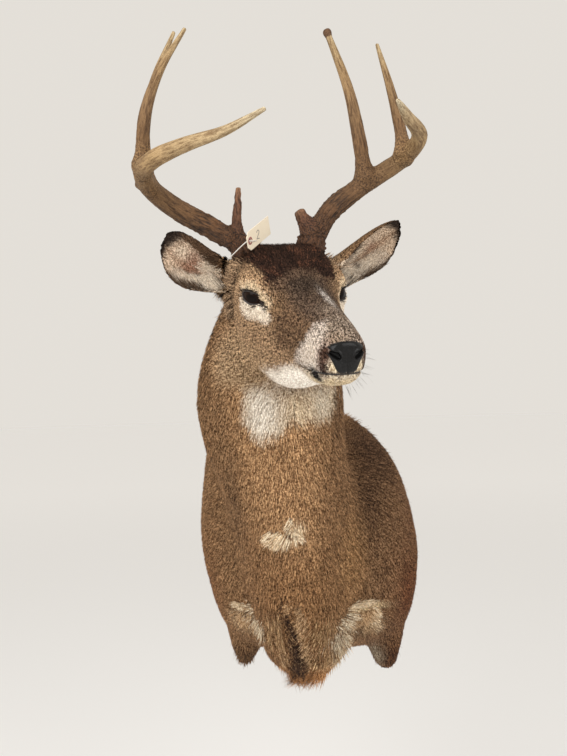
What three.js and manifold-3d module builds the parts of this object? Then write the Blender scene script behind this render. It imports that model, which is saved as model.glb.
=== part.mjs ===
// Whitetail buck shoulder mount, life size, in millimetres, +Z up.
// The wall is the plane y = 0 and the buck looks out of it along -Y, with its head turned to its left (+X).
// The origin is the middle of the back board's rear face.
import * as THREE from "three";
import { mergeVertices } from "three/addons/utils/BufferGeometryUtils.js";
import Module from "manifold-3d";

const wasm = await Module();
wasm.setup();

const GAP = 0.3; // clearance left between neighbouring pieces
const HIDE_BACK = -1.5; // the hide's rolled rear edge stands this far off the wall
const BOARD_THICK = 18;
const BOARD_INSET = 16; // the board is this much smaller all round than the hide's outline at the wall

// The head's frame: origin midway between the eyes, +X to the nose, +Y to the buck's left, +Z up.
const HEAD_AT = new THREE.Vector3(-18, -395, 353);
const HEAD_YAW = 17.5; // degrees, towards the buck's left
const HEAD_PITCH = 20; // degrees, nose down
const HEAD_ROLL = 3; // degrees, the buck's left side up

const EYE_RADIUS = 17.5;
const EYE_SIDE = 52; // from the middle of the head to an eyeball's centre

const DEG = Math.PI / 180;
const bell = (d2, r) => Math.exp(-d2 / (r * r));

// ---------------------------------------------------------------- shape tools

// Smooth values between stations: each row is [position, value, value, ...].
function stations(rows) {
  const width = rows[0].length - 1;
  const spline = new THREE.CubicInterpolant(
    rows.map((row) => row[0]),
    rows.flatMap((row) => row.slice(1)),
    width,
  );
  return (t) => Array.from(spline.evaluate(t));
}

// A closed body through rings of points, with a pole at each end.
function loft(rings, firstPole, lastPole) {
  const around = rings[0].length;
  const points = [firstPole, ...rings.flat(), lastPole];
  const index = [];
  const at = (ring, i) => 1 + ring * around + (i % around);
  for (let i = 0; i < around; i++) {
    index.push(0, at(0, i + 1), at(0, i));
    index.push(points.length - 1, at(rings.length - 1, i), at(rings.length - 1, i + 1));
    for (let r = 0; r + 1 < rings.length; r++) {
      index.push(at(r, i), at(r, i + 1), at(r + 1, i));
      index.push(at(r, i + 1), at(r + 1, i + 1), at(r + 1, i));
    }
  }
  return new THREE.BufferGeometry().setFromPoints(points).setIndex(index);
}

// A tapered tube along a curve, with rounded ends; radius(t) gives its radius, flat(t) its width over thickness.
function taperedTube(curve, steps, sides, radius, flat = () => 1) {
  const frames = curve.computeFrenetFrames(steps, false);
  const rings = [];
  for (let s = 0; s <= steps; s++) {
    const centre = curve.getPointAt(s / steps);
    const r = radius(s / steps);
    const f = Math.sqrt(flat(s / steps));
    rings.push(
      Array.from({ length: sides }, (_, i) => {
        const a = (2 * Math.PI * i) / sides;
        return centre
          .clone()
          .addScaledVector(frames.normals[s], (Math.cos(a) * r) / f)
          .addScaledVector(frames.binormals[s], Math.sin(a) * r * f);
      }),
    );
  }
  const start = curve.getPointAt(0).addScaledVector(frames.tangents[0], -0.5 * radius(0));
  const end = curve.getPointAt(1).addScaledVector(frames.tangents[steps], 0.8 * radius(1));
  return loft(rings, start, end);
}

function solidOf(geometry) {
  const bare = geometry.clone();
  bare.deleteAttribute("normal");
  bare.deleteAttribute("uv");
  const merged = mergeVertices(bare, 1e-4);
  const solid = new wasm.Manifold(
    new wasm.Mesh({
      numProp: 3,
      vertProperties: merged.attributes.position.array,
      triVerts: new Uint32Array(merged.index.array),
    }),
  );
  if (solid.volume() > 0) return solid;
  const flipped = merged.index.array.slice().reverse();
  return new wasm.Manifold(
    new wasm.Mesh({
      numProp: 3,
      vertProperties: merged.attributes.position.array,
      triVerts: new Uint32Array(flipped),
    }),
  );
}

// The largest body of a solid, without the crumbs that a cut can leave.
function biggest(solid) {
  return solid.decompose().sort((a, b) => b.volume() - a.volume())[0];
}

function geometryOf(solid) {
  const mesh = biggest(solid).getMesh();
  const position = new THREE.BufferAttribute(new Float32Array(mesh.vertProperties), 3);
  const geometry = new THREE.BufferGeometry().setAttribute("position", position);
  geometry.setIndex(new THREE.BufferAttribute(new Uint32Array(mesh.triVerts), 1));
  geometry.computeVertexNormals();
  return geometry;
}

// ---------------------------------------------------------------- materials

const finish = (color, roughness = 0.9) =>
  new THREE.MeshStandardMaterial({ color, roughness, metalness: 0 });
const COAT = finish(0x7a5c3f);
const COAT_DARK = finish(0x5a4230);
const EAR_HAIR = finish(0x8a7763);
const NOSE_SKIN = finish(0x17161a, 0.4);
const EYE_GLASS = finish(0x0d0a08, 0.08);
const ANTLER = finish(0x8d7355, 0.6);
const BOARD_WOOD = finish(0xb08d5e, 0.8);
const TAG_PAPER = finish(0xe8cfa6, 0.9);
const TAG_STRING = finish(0xd8d2c4, 0.9);

const mount = new THREE.Group();
const head = new THREE.Group();
head.position.copy(HEAD_AT);
head.quaternion
  .setFromAxisAngle(new THREE.Vector3(0, 0, 1), (HEAD_YAW - 90) * DEG)
  .multiply(new THREE.Quaternion().setFromAxisAngle(new THREE.Vector3(0, 1, 0), HEAD_PITCH * DEG))
  .multiply(new THREE.Quaternion().setFromAxisAngle(new THREE.Vector3(1, 0, 0), HEAD_ROLL * DEG));
mount.add(head);
head.updateMatrixWorld(true);

function add(group, name, solid, material) {
  const geometry = geometryOf(solid);
  const mesh = new THREE.Mesh(geometry, material);
  mesh.name = name;
  group.add(mesh);
  return mesh;
}
const toHead = (solid) =>
  solidOf(geometryOf(solid).applyMatrix4(head.matrixWorld.clone().invert()));
const toMount = (solid) => solidOf(geometryOf(solid).applyMatrix4(head.matrixWorld));

// ---------------------------------------------------------------- head

// Along the head: [x, top, bottom, half width, height of the widest line, roundness above, below]
const HEAD_STATIONS = stations([
  [-118, 6, -62, 44, -20, 2.0, 2.0],
  [-100, 34, -95, 62, -14, 2.2, 2.0],
  [-75, 53, -116, 69, -8, 2.5, 2.0],
  [-40, 57, -127, 70, -6, 2.6, 2.0],
  [-5, 46, -130, 67, -4, 2.5, 2.0],
  [30, 33, -121, 55, -14, 2.4, 2.1],
  [65, 24, -106, 44, -22, 2.3, 2.2],
  [100, 18, -91, 36, -27, 2.2, 2.3],
  [135, 14, -78, 31, -30, 2.2, 2.4],
  [165, 7, -68, 29, -30, 2.3, 2.5],
  [185, -1, -64, 26, -31, 2.4, 2.4],
  [197, -9, -54, 19, -31, 2.2, 2.2],
]);
const HEAD_REAR = -128;
const HEAD_FRONT = 204;
const NOSE_DROP = -34; // height of the foremost point of the muzzle
const HEAD_RINGS = 25;
const HEAD_SIDES = 24;

// Swellings and hollows of the head, on both sides: [x, y, z, height, radius]
const HEAD_SWELLS = [
  [-1, 62, 20, 8, 26], // brow ridge over the eye
  [-30, 64, 0, 3, 24], // rear rim of the orbit
  [4, 60, -30, 4, 26], // cheek bone under the eye
  [-35, 52, -78, 7, 38], // chewing muscle
  [52, 42, -8, -4, 24], // hollow in front of the eye
  [-62, 40, 50, 7, 22], // foot of the antler
  [182, 22, -28, 3, 16], // wing of the nostril
  [140, 26, -50, 4, 26], // upper lip
  [176, 12, -72, 3, 16], // chin
  [204, 0, -64, -8, 18], // the lower lip stands back under the nose
];

function ovalPoint(angle, halfWidth, above, below, wideAt, powerAbove, powerBelow) {
  const c = Math.cos(angle);
  const s = Math.sin(angle);
  const power = s >= 0 ? powerAbove : powerBelow;
  const reach = s >= 0 ? above - wideAt : wideAt - below;
  return [
    Math.sign(c) * halfWidth * Math.abs(c) ** (2 / power),
    wideAt + Math.sign(s) * reach * Math.abs(s) ** (2 / power),
  ];
}

function headLoft(grow = 0) {
  const rings = [];
  for (let r = 0; r < HEAD_RINGS; r++) {
    const t = r / (HEAD_RINGS - 1);
    const x = -118 + (197 + 118) * t;
    const [top, bottom, halfWidth, wideAt, above, below] = HEAD_STATIONS(x);
    rings.push(
      Array.from({ length: HEAD_SIDES }, (_, i) => {
        const angle = (2 * Math.PI * (i + 0.5)) / HEAD_SIDES;
        const [y, z] = ovalPoint(angle, halfWidth, top, bottom, wideAt, above, below);
        const point = new THREE.Vector3(x, y, z);
        const outward = new THREE.Vector3(0, y, z - wideAt).normalize();
        let lift = grow;
        for (const [sx, sy, sz, height, radius] of HEAD_SWELLS) {
          const d2 = (x - sx) ** 2 + (Math.abs(y) - sy) ** 2 + (z - sz) ** 2;
          lift += height * bell(d2, radius);
        }
        return point.addScaledVector(outward, lift);
      }),
    );
  }
  return loft(
    rings,
    new THREE.Vector3(HEAD_REAR - grow, 0, -26),
    new THREE.Vector3(HEAD_FRONT + grow, 0, NOSE_DROP),
  );
}

// ---------------------------------------------------------------- neck and trunk

// Up the neck: [z, middle x, half width, front y, rear y]
const NECK_STATIONS = stations([
  [-203, -14, 32, -222, -120],
  [-184, -14, 54, -262, -80],
  [-150, -15, 68, -300, -60],
  [-100, -17, 76, -326, -40],
  [-30, -20, 82, -348, -20],
  [30, -26, 88, -356, -10],
  [90, -45, 104, -356, 0],
  [150, -57, 110, -352, 0],
  [200, -60, 111, -346, -30],
  [250, -58, 107, -342, -90],
  [300, -54, 95, -338, -150],
  [340, -51, 78, -332, -196],
  [378, -54, 56, -318, -222],
]);
const NECK_BOTTOM = new THREE.Vector3(-14, -170, -211);
const NECK_TOP = new THREE.Vector3(-54, -272, 390);
const NECK_RINGS = 18;
const NECK_SIDES = 24;

function neckLoft() {
  const rings = [];
  for (let r = 0; r < NECK_RINGS; r++) {
    const z = -203 + (378 + 203) * (r / (NECK_RINGS - 1));
    const [middle, halfWidth, front, rear] = NECK_STATIONS(z);
    rings.push(
      Array.from({ length: NECK_SIDES }, (_, i) => {
        const angle = (2 * Math.PI * i) / NECK_SIDES;
        const [x, y] = ovalPoint(angle, halfWidth, rear, front, (front * 2 + rear) / 3, 2.2, 2.2);
        return new THREE.Vector3(middle + x, y, z);
      }),
    );
  }
  return loft(rings, NECK_BOTTOM, NECK_TOP);
}

// Up the shoulders, which end at the wall: [z, left edge x, right edge x, front y]
const TRUNK_STATIONS = stations([
  [-196, -104, 118, -100],
  [-170, -140, 154, -165],
  [-125, -160, 173, -215],
  [-75, -173, 181, -240],
  [-34, -181, 183, -246],
  [10, -184, 177, -242],
  [50, -182, 168, -226],
  [90, -178, 155, -200],
  [125, -175, 136, -166],
  [160, -163, 106, -114],
  [185, -134, 74, -60],
]);
const TRUNK_RINGS = 14;
const TRUNK_SIDES = 26;
const TRUNK_BEHIND = 60; // the loft runs on behind the wall, where it is cut off

function trunkLoft() {
  const rings = [];
  for (let r = 0; r < TRUNK_RINGS; r++) {
    const z = -196 + (185 + 196) * (r / (TRUNK_RINGS - 1));
    const [left, right, front] = TRUNK_STATIONS(z);
    rings.push(
      Array.from({ length: TRUNK_SIDES }, (_, i) => {
        const angle = (2 * Math.PI * i) / TRUNK_SIDES;
        const [x, y] = ovalPoint(angle, (right - left) / 2, TRUNK_BEHIND, front, -45, 2.4, 2.3);
        const drift = 12 * (y / 240); // the body leaves the wall a little to its own right
        return new THREE.Vector3((left + right) / 2 + x + drift, y, z);
      }),
    );
  }
  return loft(rings, new THREE.Vector3(0, -30, -204), new THREE.Vector3(0, -20, 196));
}

// The stumps of the forelegs, cut at the elbow and closed against the wall.
function legStump(side) {
  const [x, bottom, width] = side < 0 ? [-118, -228, 41] : [120, -246, 43];
  const rings = [];
  const count = 9;
  for (let r = 0; r < count; r++) {
    const t = r / (count - 1);
    const z = THREE.MathUtils.lerp(bottom + 6, -60, t);
    const swell = Math.sqrt(Math.min(1, 0.14 + t * 1.5));
    rings.push(
      Array.from({ length: 16 }, (_, i) => {
        const angle = (2 * Math.PI * i) / 16;
        const [dx, y] = ovalPoint(angle, width * swell, TRUNK_BEHIND, -40 - 95 * swell, -45, 2.2, 2.2);
        return new THREE.Vector3(x + dx - side * 10 * t, y, z);
      }),
    );
  }
  return loft(rings, new THREE.Vector3(x, -55, bottom), new THREE.Vector3(x - side * 10, -60, -50));
}

// ---------------------------------------------------------------- ears

const EAR_RINGS = 10;
const EAR_HALF = 8; // points across the cup

// An ear is a leaf rolled into a cup; bow is how far its middle line curves to one side,
// and slim is the share of its width that it lacks.
function earLoft(base, tip, facing, bow, slim) {
  const along = tip.clone().sub(base);
  const length = along.length();
  along.normalize();
  const out = facing.clone().addScaledVector(along, -facing.dot(along)).normalize();
  const across = new THREE.Vector3().crossVectors(along, out);
  const shape = stations([
    [0, 20, 150, 7],
    [0.15, 25, 118, 7],
    [0.35, 34, 84, 6],
    [0.58, 42, 70, 5],
    [0.78, 39, 64, 4.5],
    [0.92, 27, 58, 4],
    [0.97, 19, 54, 4],
  ]);
  const rings = [];
  for (let r = 0; r < EAR_RINGS; r++) {
    const t = 0.97 * (r / (EAR_RINGS - 1));
    const [fullWidth, openDegrees, thick] = shape(t);
    const halfWidth = fullWidth * (1 - slim * Math.min(1, 2.5 * t));
    const reach = openDegrees * DEG;
    const radius = halfWidth / Math.sin(Math.min(reach, Math.PI / 2));
    const centre = base
      .clone()
      .addScaledVector(along, t * length)
      .addScaledVector(out, radius * 0.8)
      .addScaledVector(across, bow * Math.sin(Math.PI * t));
    const arc = (phi, rad) =>
      centre
        .clone()
        .addScaledVector(across, Math.sin(phi) * rad)
        .addScaledVector(out, -Math.cos(phi) * rad);
    const outer = [];
    const inner = [];
    for (let i = 0; i <= EAR_HALF; i++) {
      const u = (2 * i) / EAR_HALF - 1;
      outer.push(arc(u * reach, radius));
      inner.push(arc(-u * reach * 0.97, radius - thick * (1 - 0.6 * u * u)));
    }
    rings.push([...outer, ...inner]);
  }
  const tipPole = base.clone().addScaledVector(along, length).addScaledVector(out, 6);
  return loft(rings, base.clone().addScaledVector(out, 14), tipPole);
}

// ---------------------------------------------------------------- antlers

const curve = (points) =>
  new THREE.CatmullRomCurve3(points.map((p) => new THREE.Vector3(...p)), false, "centripetal");

// Each antler: the main beam from burr to tip, and its tines, in the head's frame.
const ANTLERS = {
  right: {
    beam: [
      [-60, -48, 30], [-69, -54, 51], [-86, -90, 74], [-95, -134, 98], [-84, -171, 126], [-46, -189, 152],
      [-4, -184, 171], [52, -153, 193], [101, -117, 211], [135, -82, 235],
    ],
    split: 0.47,
    brow: { points: [[-74, -61, 55], [-81, -60, 89], [-87, -57, 129]], root: 8.5, tip: 3.5 },
    g2: { points: [[-78, -181, 131], [-96, -180, 200], [-116, -162, 263], [-137, -132, 323]], root: 10, tip: 2.5 },
    g3: { points: [[-40, -190, 157], [-39, -186, 219], [-60, -164, 272], [-79, -128, 324]], root: 9.5, tip: 2.5 },
  },
  left: {
    beam: [
      [-68, 38, 35], [-74, 46, 55], [-79, 73, 98], [-76, 107, 126], [-74, 143, 149],
      [-54, 170, 174], [-19, 171, 200], [37, 127, 227], [95, 87, 246],
    ],
    split: 0.45,
    brow: { points: [[-75, 46, 66], [-80, 37, 82], [-83, 28, 97]], root: 11, tip: 8 },
    g2: { points: [[-75, 121, 138], [-91, 114, 196], [-119, 106, 258], [-157, 84, 335]], root: 11, tip: 4 },
    g3: { points: [[-53, 167, 174], [-65, 162, 213], [-79, 152, 259], [-105, 139, 317]], root: 9.5, tip: 2.5 },
  },
};
const BEAM_STEPS = 28;
const BEAM_SIDES = 8;
const TINE_STEPS = 10;
const TINE_SIDES = 8;
const BEAM_RADIUS = stations([
  [0, 15], [0.04, 16], [0.1, 14.5], [0.25, 14.2], [0.45, 12.8], [0.65, 10.3], [0.82, 7], [0.93, 4.5], [1, 2.5],
]);
const BURR_RADIUS = 22;
const BURR_AT = 0.045;

function beamTube(points, grow = 0) {
  return taperedTube(curve(points), BEAM_STEPS, BEAM_SIDES, (t) => {
    const burr = (BURR_RADIUS - 16) * bell((t - BURR_AT) ** 2, 0.018);
    return BEAM_RADIUS(t)[0] + burr + grow;
  });
}

function tineTube({ points, root, tip }) {
  const radius = (t) => THREE.MathUtils.lerp(root, tip, t ** 1.25) + 3.5 * bell(t * t, 0.12);
  return taperedTube(curve(points), TINE_STEPS, TINE_SIDES, radius);
}

const antlerRoom = []; // the beams grown by the clearance, to keep other pieces off them

function buildAntler(side, spec, skull) {
  const beam = solidOf(beamTube(spec.beam)).subtract(skull);
  const grown = solidOf(beamTube(spec.beam, GAP));
  antlerRoom.push(grown);
  const path = curve(spec.beam);
  const at = path.getPointAt(spec.split);
  const dir = path.getTangentAt(spec.split);
  const level = at.dot(dir);
  const n = dir.toArray();
  add(head, `antler_${side}_beam_lower`, beam.trimByPlane(n.map((v) => -v), -(level - GAP / 2)), ANTLER);
  add(head, `antler_${side}_beam_upper`, beam.trimByPlane(n, level + GAP / 2), ANTLER);
  for (const tine of ["brow", "g2", "g3"]) {
    const solid = solidOf(tineTube(spec[tine])).subtract(grown).subtract(skull);
    add(head, `antler_${side}_${tine}_tine`, solid, ANTLER);
    antlerRoom.push(solidOf(tineTube({ ...spec[tine], root: spec[tine].root + GAP, tip: spec[tine].tip + GAP })));
  }
}

// ---------------------------------------------------------------- assembly

const skullGrown = solidOf(headLoft(GAP));
const eyes = [-1, 1].map((side) => ({
  side,
  centre: new THREE.Vector3(-2, side * EYE_SIDE, 0.5),
}));
const eyeBall = (centre, grow) =>
  solidOf(new THREE.SphereGeometry(EYE_RADIUS + grow, 14, 8).translate(...centre.toArray()));

// Ears: base, tip and the way that the cup faces, in the mount's frame.
const EARS = {
  right: { base: [-84, -339, 384], tip: [-203, -318, 446], facing: [-0.1, -0.95, -0.2], bow: -13, slim: 0.15 },
  left: { base: [16, -303, 394], tip: [141, -262, 466], facing: [0.35, -0.6, -0.7], bow: 2, slim: 0.04 },
};

// The opening between the lids is an almond, its front corner low.
const LID_OPENING = [16, 26, 10]; // along the eye, outward, up
const EYE_FORWARD = 50; // degrees that the eye looks forward from straight sideways
const lidOpening = ({ side, centre }) =>
  solidOf(
    new THREE.SphereGeometry(1, 12, 8)
      .scale(...LID_OPENING)
      .rotateY(14 * DEG)
      .translate(0, 0.8 * EYE_RADIUS * side, 0)
      .rotateZ(-side * EYE_FORWARD * DEG)
      .translate(...centre.toArray()),
  );

let headFlesh = solidOf(headLoft());
for (const eye of eyes) {
  headFlesh = headFlesh.subtract(eyeBall(eye.centre, GAP)).subtract(lidOpening(eye));
}

// The lower jaw is parted along the closed mouth.
const MOUTH_CORNER = 128;
const jawOutline = (grow) => {
  const outline = new THREE.Shape();
  outline.moveTo(MOUTH_CORNER - 26 - grow, -140);
  outline.lineTo(MOUTH_CORNER - 26 - grow, -66 + grow);
  outline.lineTo(MOUTH_CORNER - 3, -52 + grow);
  outline.lineTo(MOUTH_CORNER + 30, -52 + grow);
  outline.lineTo(230, -47 + grow);
  outline.lineTo(230, -140);
  return new THREE.ExtrudeGeometry(outline, { depth: 140, bevelEnabled: false })
    .rotateX(Math.PI / 2)
    .translate(0, 70, 0);
};
const jaw = headFlesh.intersect(solidOf(jawOutline(0)));
headFlesh = headFlesh.subtract(solidOf(jawOutline(GAP)));

// The nose pad is the bare front of the muzzle.
const nosePad = (grow) =>
  solidOf(
    new THREE.SphereGeometry(1, 16, 10)
      .scale(22 + grow, 24 + grow, 19 + grow)
      .rotateY(20 * DEG)
      .translate(196, 0, -25),
  );
add(head, "nose_pad", headFlesh.intersect(nosePad(0)), NOSE_SKIN);
headFlesh = headFlesh.subtract(nosePad(GAP));
add(head, "lower_jaw", jaw, COAT);

for (const eye of eyes) {
  add(head, eye.side < 0 ? "eye_right" : "eye_left", eyeBall(eye.centre, 0), EYE_GLASS);
}
buildAntler("right", ANTLERS.right, skullGrown);
buildAntler("left", ANTLERS.left, skullGrown);

// The rest of the flesh is joined in the mount's frame, cut off at the wall, and parted by thin planes.
// ---- the board that the form is screwed to, let into its rear
const BOARD_LOW = -104;
const BOARD_HIGH = 140;
function boardSolid(grow) {
  const outline = new THREE.Shape();
  const rows = 8;
  const heights = Array.from({ length: rows }, (_, i) => BOARD_LOW + ((BOARD_HIGH - BOARD_LOW) * i) / (rows - 1));
  const edge = (z, side) => {
    const [left, right] = TRUNK_STATIONS(z);
    const inset = BOARD_INSET + 14 * ((z - BOARD_LOW) / (BOARD_HIGH - BOARD_LOW));
    return side < 0 ? left + inset - grow : right - inset + grow;
  };
  const grown = (z) => (z === BOARD_LOW ? z - grow : z === BOARD_HIGH ? z + grow : z);
  const points = [
    ...heights.map((z) => new THREE.Vector2(edge(z, 1), grown(z))),
    ...heights.map((z) => new THREE.Vector2(edge(z, -1), grown(z))).reverse(),
  ];
  outline.setFromPoints(points);
  const depth = BOARD_THICK + grow + (grow ? 20 : 0);
  const slab = new THREE.ExtrudeGeometry(outline, { depth, bevelEnabled: false });
  return solidOf(slab.rotateX(Math.PI / 2).translate(0, grow ? 20 : 0, 0));
}
add(mount, "back_board", boardSolid(0), BOARD_WOOD);

const wallCut = (solid) => solid.trimByPlane([0, -1, 0], -HIDE_BACK);
const bodyFlesh = wallCut(
  solidOf(trunkLoft()).add(solidOf(neckLoft())).add(solidOf(legStump(-1))).add(solidOf(legStump(1))),
);
const neckPlane = new THREE.Vector3(0, -0.55, 0.835).normalize();
const neckLevel = new THREE.Vector3(0, -180, 120).dot(neckPlane);
const above = bodyFlesh.trimByPlane(neckPlane.toArray(), neckLevel + GAP / 2);
const below = bodyFlesh.trimByPlane(neckPlane.toArray().map((v) => -v), -(neckLevel - GAP / 2));
const skullWorld = toMount(skullGrown);
add(mount, "neck", above.subtract(skullWorld), COAT);
const LEG_LEVEL = -120;
const trunk = below.trimByPlane([0, 0, 1], LEG_LEVEL + GAP / 2).subtract(boardSolid(GAP));
add(mount, "trunk", trunk, COAT);
const lower = below.trimByPlane([0, 0, -1], -(LEG_LEVEL - GAP / 2));
add(mount, "foreleg_right", lower.trimByPlane([-1, 0, 0], 84 + GAP / 2), COAT);
add(mount, "foreleg_left", lower.trimByPlane([1, 0, 0], 62 + GAP / 2), COAT);
add(mount, "brisket", lower.trimByPlane([1, 0, 0], -84 + GAP / 2).trimByPlane([-1, 0, 0], -62 + GAP / 2), COAT);

// ---- the card tag, tied to the buck's right antler
const TAG_SIZE = [58, 26, 0.8];
const TAG_CORNER = 6; // the cut corners beside the hole
const TAG_HOLE = 2.6;
const HOLE_IN = 7; // the hole's middle from the end of the card
const HOLE_AT = new THREE.Vector3(-75, -412, 423);
const TAG_ALONG = new THREE.Vector3(0.484, 0.694, 0.535).normalize();
const TAG_ACROSS = new THREE.Vector3(0.105, 0.557, -0.82);
const STRING_RADIUS = 0.8;

TAG_ACROSS.addScaledVector(TAG_ALONG, -TAG_ACROSS.dot(TAG_ALONG)).normalize();
const tagNormal = new THREE.Vector3().crossVectors(TAG_ALONG, TAG_ACROSS);
const [tagLength, tagWidth, tagThick] = TAG_SIZE;
const card = new THREE.Shape();
card.moveTo(-HOLE_IN, -tagWidth / 2 + TAG_CORNER);
card.lineTo(-HOLE_IN + TAG_CORNER, -tagWidth / 2);
card.lineTo(tagLength - HOLE_IN, -tagWidth / 2);
card.lineTo(tagLength - HOLE_IN, tagWidth / 2);
card.lineTo(-HOLE_IN + TAG_CORNER, tagWidth / 2);
card.lineTo(-HOLE_IN, tagWidth / 2 - TAG_CORNER);
card.closePath();
card.holes.push(new THREE.Path().absarc(0, 0, TAG_HOLE, 0, 2 * Math.PI, true));
const cardShape = new THREE.ExtrudeGeometry(card, { depth: tagThick, bevelEnabled: false, curveSegments: 6 });
cardShape
  .translate(0, 0, -tagThick / 2)
  .applyMatrix4(new THREE.Matrix4().makeBasis(TAG_ALONG, TAG_ACROSS, tagNormal).setPosition(HOLE_AT));

// The string is one loop, round the foot of the antler and through the hole.
const LOOP_AT = 0.045; // along the beam
const LOOP_RADIUS = 26;
const beamPath = curve(ANTLERS.right.beam);
const loopCentre = beamPath.getPointAt(LOOP_AT).applyMatrix4(head.matrixWorld);
const loopAxis = beamPath.getTangentAt(LOOP_AT).transformDirection(head.matrixWorld);
const toHole = HOLE_AT.clone().sub(loopCentre);
toHole.addScaledVector(loopAxis, -toHole.dot(loopAxis)).normalize();
const loopSide = new THREE.Vector3().crossVectors(loopAxis, toHole);
const loopPoints = [];
for (let degrees = 60; degrees <= 300; degrees += 30) {
  loopPoints.push(
    loopCentre
      .clone()
      .addScaledVector(toHole, LOOP_RADIUS * Math.cos(degrees * DEG))
      .addScaledVector(loopSide, LOOP_RADIUS * Math.sin(degrees * DEG)),
  );
}
const through = Math.sign(tagNormal.dot(loopSide)) || 1;
for (const step of [-2.5, 0, 2.5]) {
  loopPoints.push(HOLE_AT.clone().addScaledVector(tagNormal, step * through));
}
const loopCurve = new THREE.CatmullRomCurve3(loopPoints, true, "centripetal");
const stringTube = (radius) => solidOf(new THREE.TubeGeometry(loopCurve, 40, radius, 4, true));
add(mount, "tag_string", stringTube(STRING_RADIUS), TAG_STRING);
add(head, "head", headFlesh.subtract(toHead(stringTube(STRING_RADIUS + GAP))), COAT);
add(mount, "tag", solidOf(cardShape).subtract(stringTube(STRING_RADIUS + GAP)), TAG_PAPER);

// ---- the ears, rooted behind the antlers
for (const side of ["right", "left"]) {
  const { base, tip, facing, bow, slim } = EARS[side];
  const [root, end, open] = [base, tip, facing].map((p) => new THREE.Vector3(...p));
  const ear = toHead(solidOf(earLoft(root, end, open, bow, slim)));
  const room = [skullGrown, toHead(above), toHead(stringTube(STRING_RADIUS + GAP)), ...antlerRoom];
  add(head, `ear_${side}`, room.reduce((solid, other) => solid.subtract(other), ear), EAR_HAIR);
}

export default mount;
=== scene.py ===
import math
import bmesh
import bpy
import numpy as np
from mathutils import Matrix, Vector
from mathutils.bvhtree import BVHTree


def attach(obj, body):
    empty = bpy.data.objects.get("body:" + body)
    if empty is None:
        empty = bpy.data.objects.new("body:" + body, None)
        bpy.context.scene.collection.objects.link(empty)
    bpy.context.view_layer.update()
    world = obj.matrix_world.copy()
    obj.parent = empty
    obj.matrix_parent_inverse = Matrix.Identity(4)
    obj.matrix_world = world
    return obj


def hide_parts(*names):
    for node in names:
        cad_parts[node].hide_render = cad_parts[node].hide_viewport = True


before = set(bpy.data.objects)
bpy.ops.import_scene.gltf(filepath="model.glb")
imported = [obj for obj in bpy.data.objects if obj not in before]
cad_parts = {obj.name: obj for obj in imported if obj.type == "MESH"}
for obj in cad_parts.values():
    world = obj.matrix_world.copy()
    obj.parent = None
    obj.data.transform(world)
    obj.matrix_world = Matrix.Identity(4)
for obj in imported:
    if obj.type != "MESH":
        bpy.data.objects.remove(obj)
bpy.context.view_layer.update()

# ---------------------------------------------------------------- the viewer
# Someone stands a metre and a half from the wall, a little below the buck's head, and holds the camera
# upright and almost level.
VIEW_AT = Vector((-0.025, -1.505, 0.215))
VIEW_TURN, VIEW_RISE, VIEW_LEAN = (math.radians(a) for a in (-0.606, 1.499, -1.623))
LENS_PIXELS, TALL_PIXELS = 846.0, 756.0  # the focal length, and the height of the view

ahead = Vector((math.sin(VIEW_TURN) * math.cos(VIEW_RISE),
                math.cos(VIEW_TURN) * math.cos(VIEW_RISE), math.sin(VIEW_RISE)))
level = Vector((math.cos(VIEW_TURN), -math.sin(VIEW_TURN), 0))
upright = level.cross(ahead)
right = math.cos(VIEW_LEAN) * level + math.sin(VIEW_LEAN) * upright
upward = -math.sin(VIEW_LEAN) * level + math.cos(VIEW_LEAN) * upright
lens = bpy.data.cameras.new("viewer")
lens.lens = lens.sensor_width * LENS_PIXELS / TALL_PIXELS
viewer = bpy.data.objects.new("viewer", lens)
viewer.matrix_world = Matrix.Translation(VIEW_AT) @ Matrix((right, upward, -ahead)).transposed().to_4x4()
bpy.context.collection.objects.link(viewer)
bpy.context.scene.camera = viewer

# ---------------------------------------------------------------- the hide
# The tanned skin of head, ears, neck and shoulders is glued over a foam form, in one piece from the lips
# to the wall. The body's solids are joined, rounded, and sunk by the depth of the hair that they carry.
HEAD_AT = np.array((-0.018, -0.395, 0.353))  # midway between the eyes
HEAD_YAW, HEAD_PITCH, HEAD_ROLL = (math.radians(a) for a in (17.5, 20.0, 3.0))
fore = np.array((math.sin(HEAD_YAW) * math.cos(HEAD_PITCH),
                 -math.cos(HEAD_YAW) * math.cos(HEAD_PITCH), -math.sin(HEAD_PITCH)))
side_flat = np.array((math.cos(HEAD_YAW), math.sin(HEAD_YAW), 0.0))
crown = np.cross(fore, side_flat)
side = math.cos(HEAD_ROLL) * side_flat + math.sin(HEAD_ROLL) * crown
crown = -math.sin(HEAD_ROLL) * side_flat + math.cos(HEAD_ROLL) * crown
HEAD_AXES = np.stack([fore, side, crown], 1)
# On the head, places and sizes are in its own millimetres: forward, to its left, up.
EYE_RADIUS = 17.5
EYE_AT = np.array((-2.0, 52.0, 0.5))  # the buck's left eye; the right one has its side turned round
EYE_FORWARD = math.radians(50)  # from straight sideways
EYE_TILT = math.radians(14)  # the front corner sits low
EYE_SLIT = np.array((16.4, 8.3, 7.8))  # half its length, its height above and below the middle
TEAR_DUCT = 12.0


def to_head(points):
    """Metres in the mount's frame to millimetres in the head's: forward, to its left, up."""
    return (np.asarray(points) - HEAD_AT) @ HEAD_AXES * 1000.0


def from_head(points):
    """Back from the head's millimetres to metres in the mount's frame."""
    return HEAD_AT + np.asarray(points, float) @ HEAD_AXES.T / 1000.0


def unit(v):
    v = np.asarray(v, float)
    return v / (np.linalg.norm(v, axis=-1, keepdims=True) + 1e-12)


def ramp(x, low, high):
    """0 at low, 1 at high, smooth between."""
    t = np.clip((np.asarray(x, float) - low) / (high - low), 0.0, 1.0)
    return t * t * (3.0 - 2.0 * t)


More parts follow.
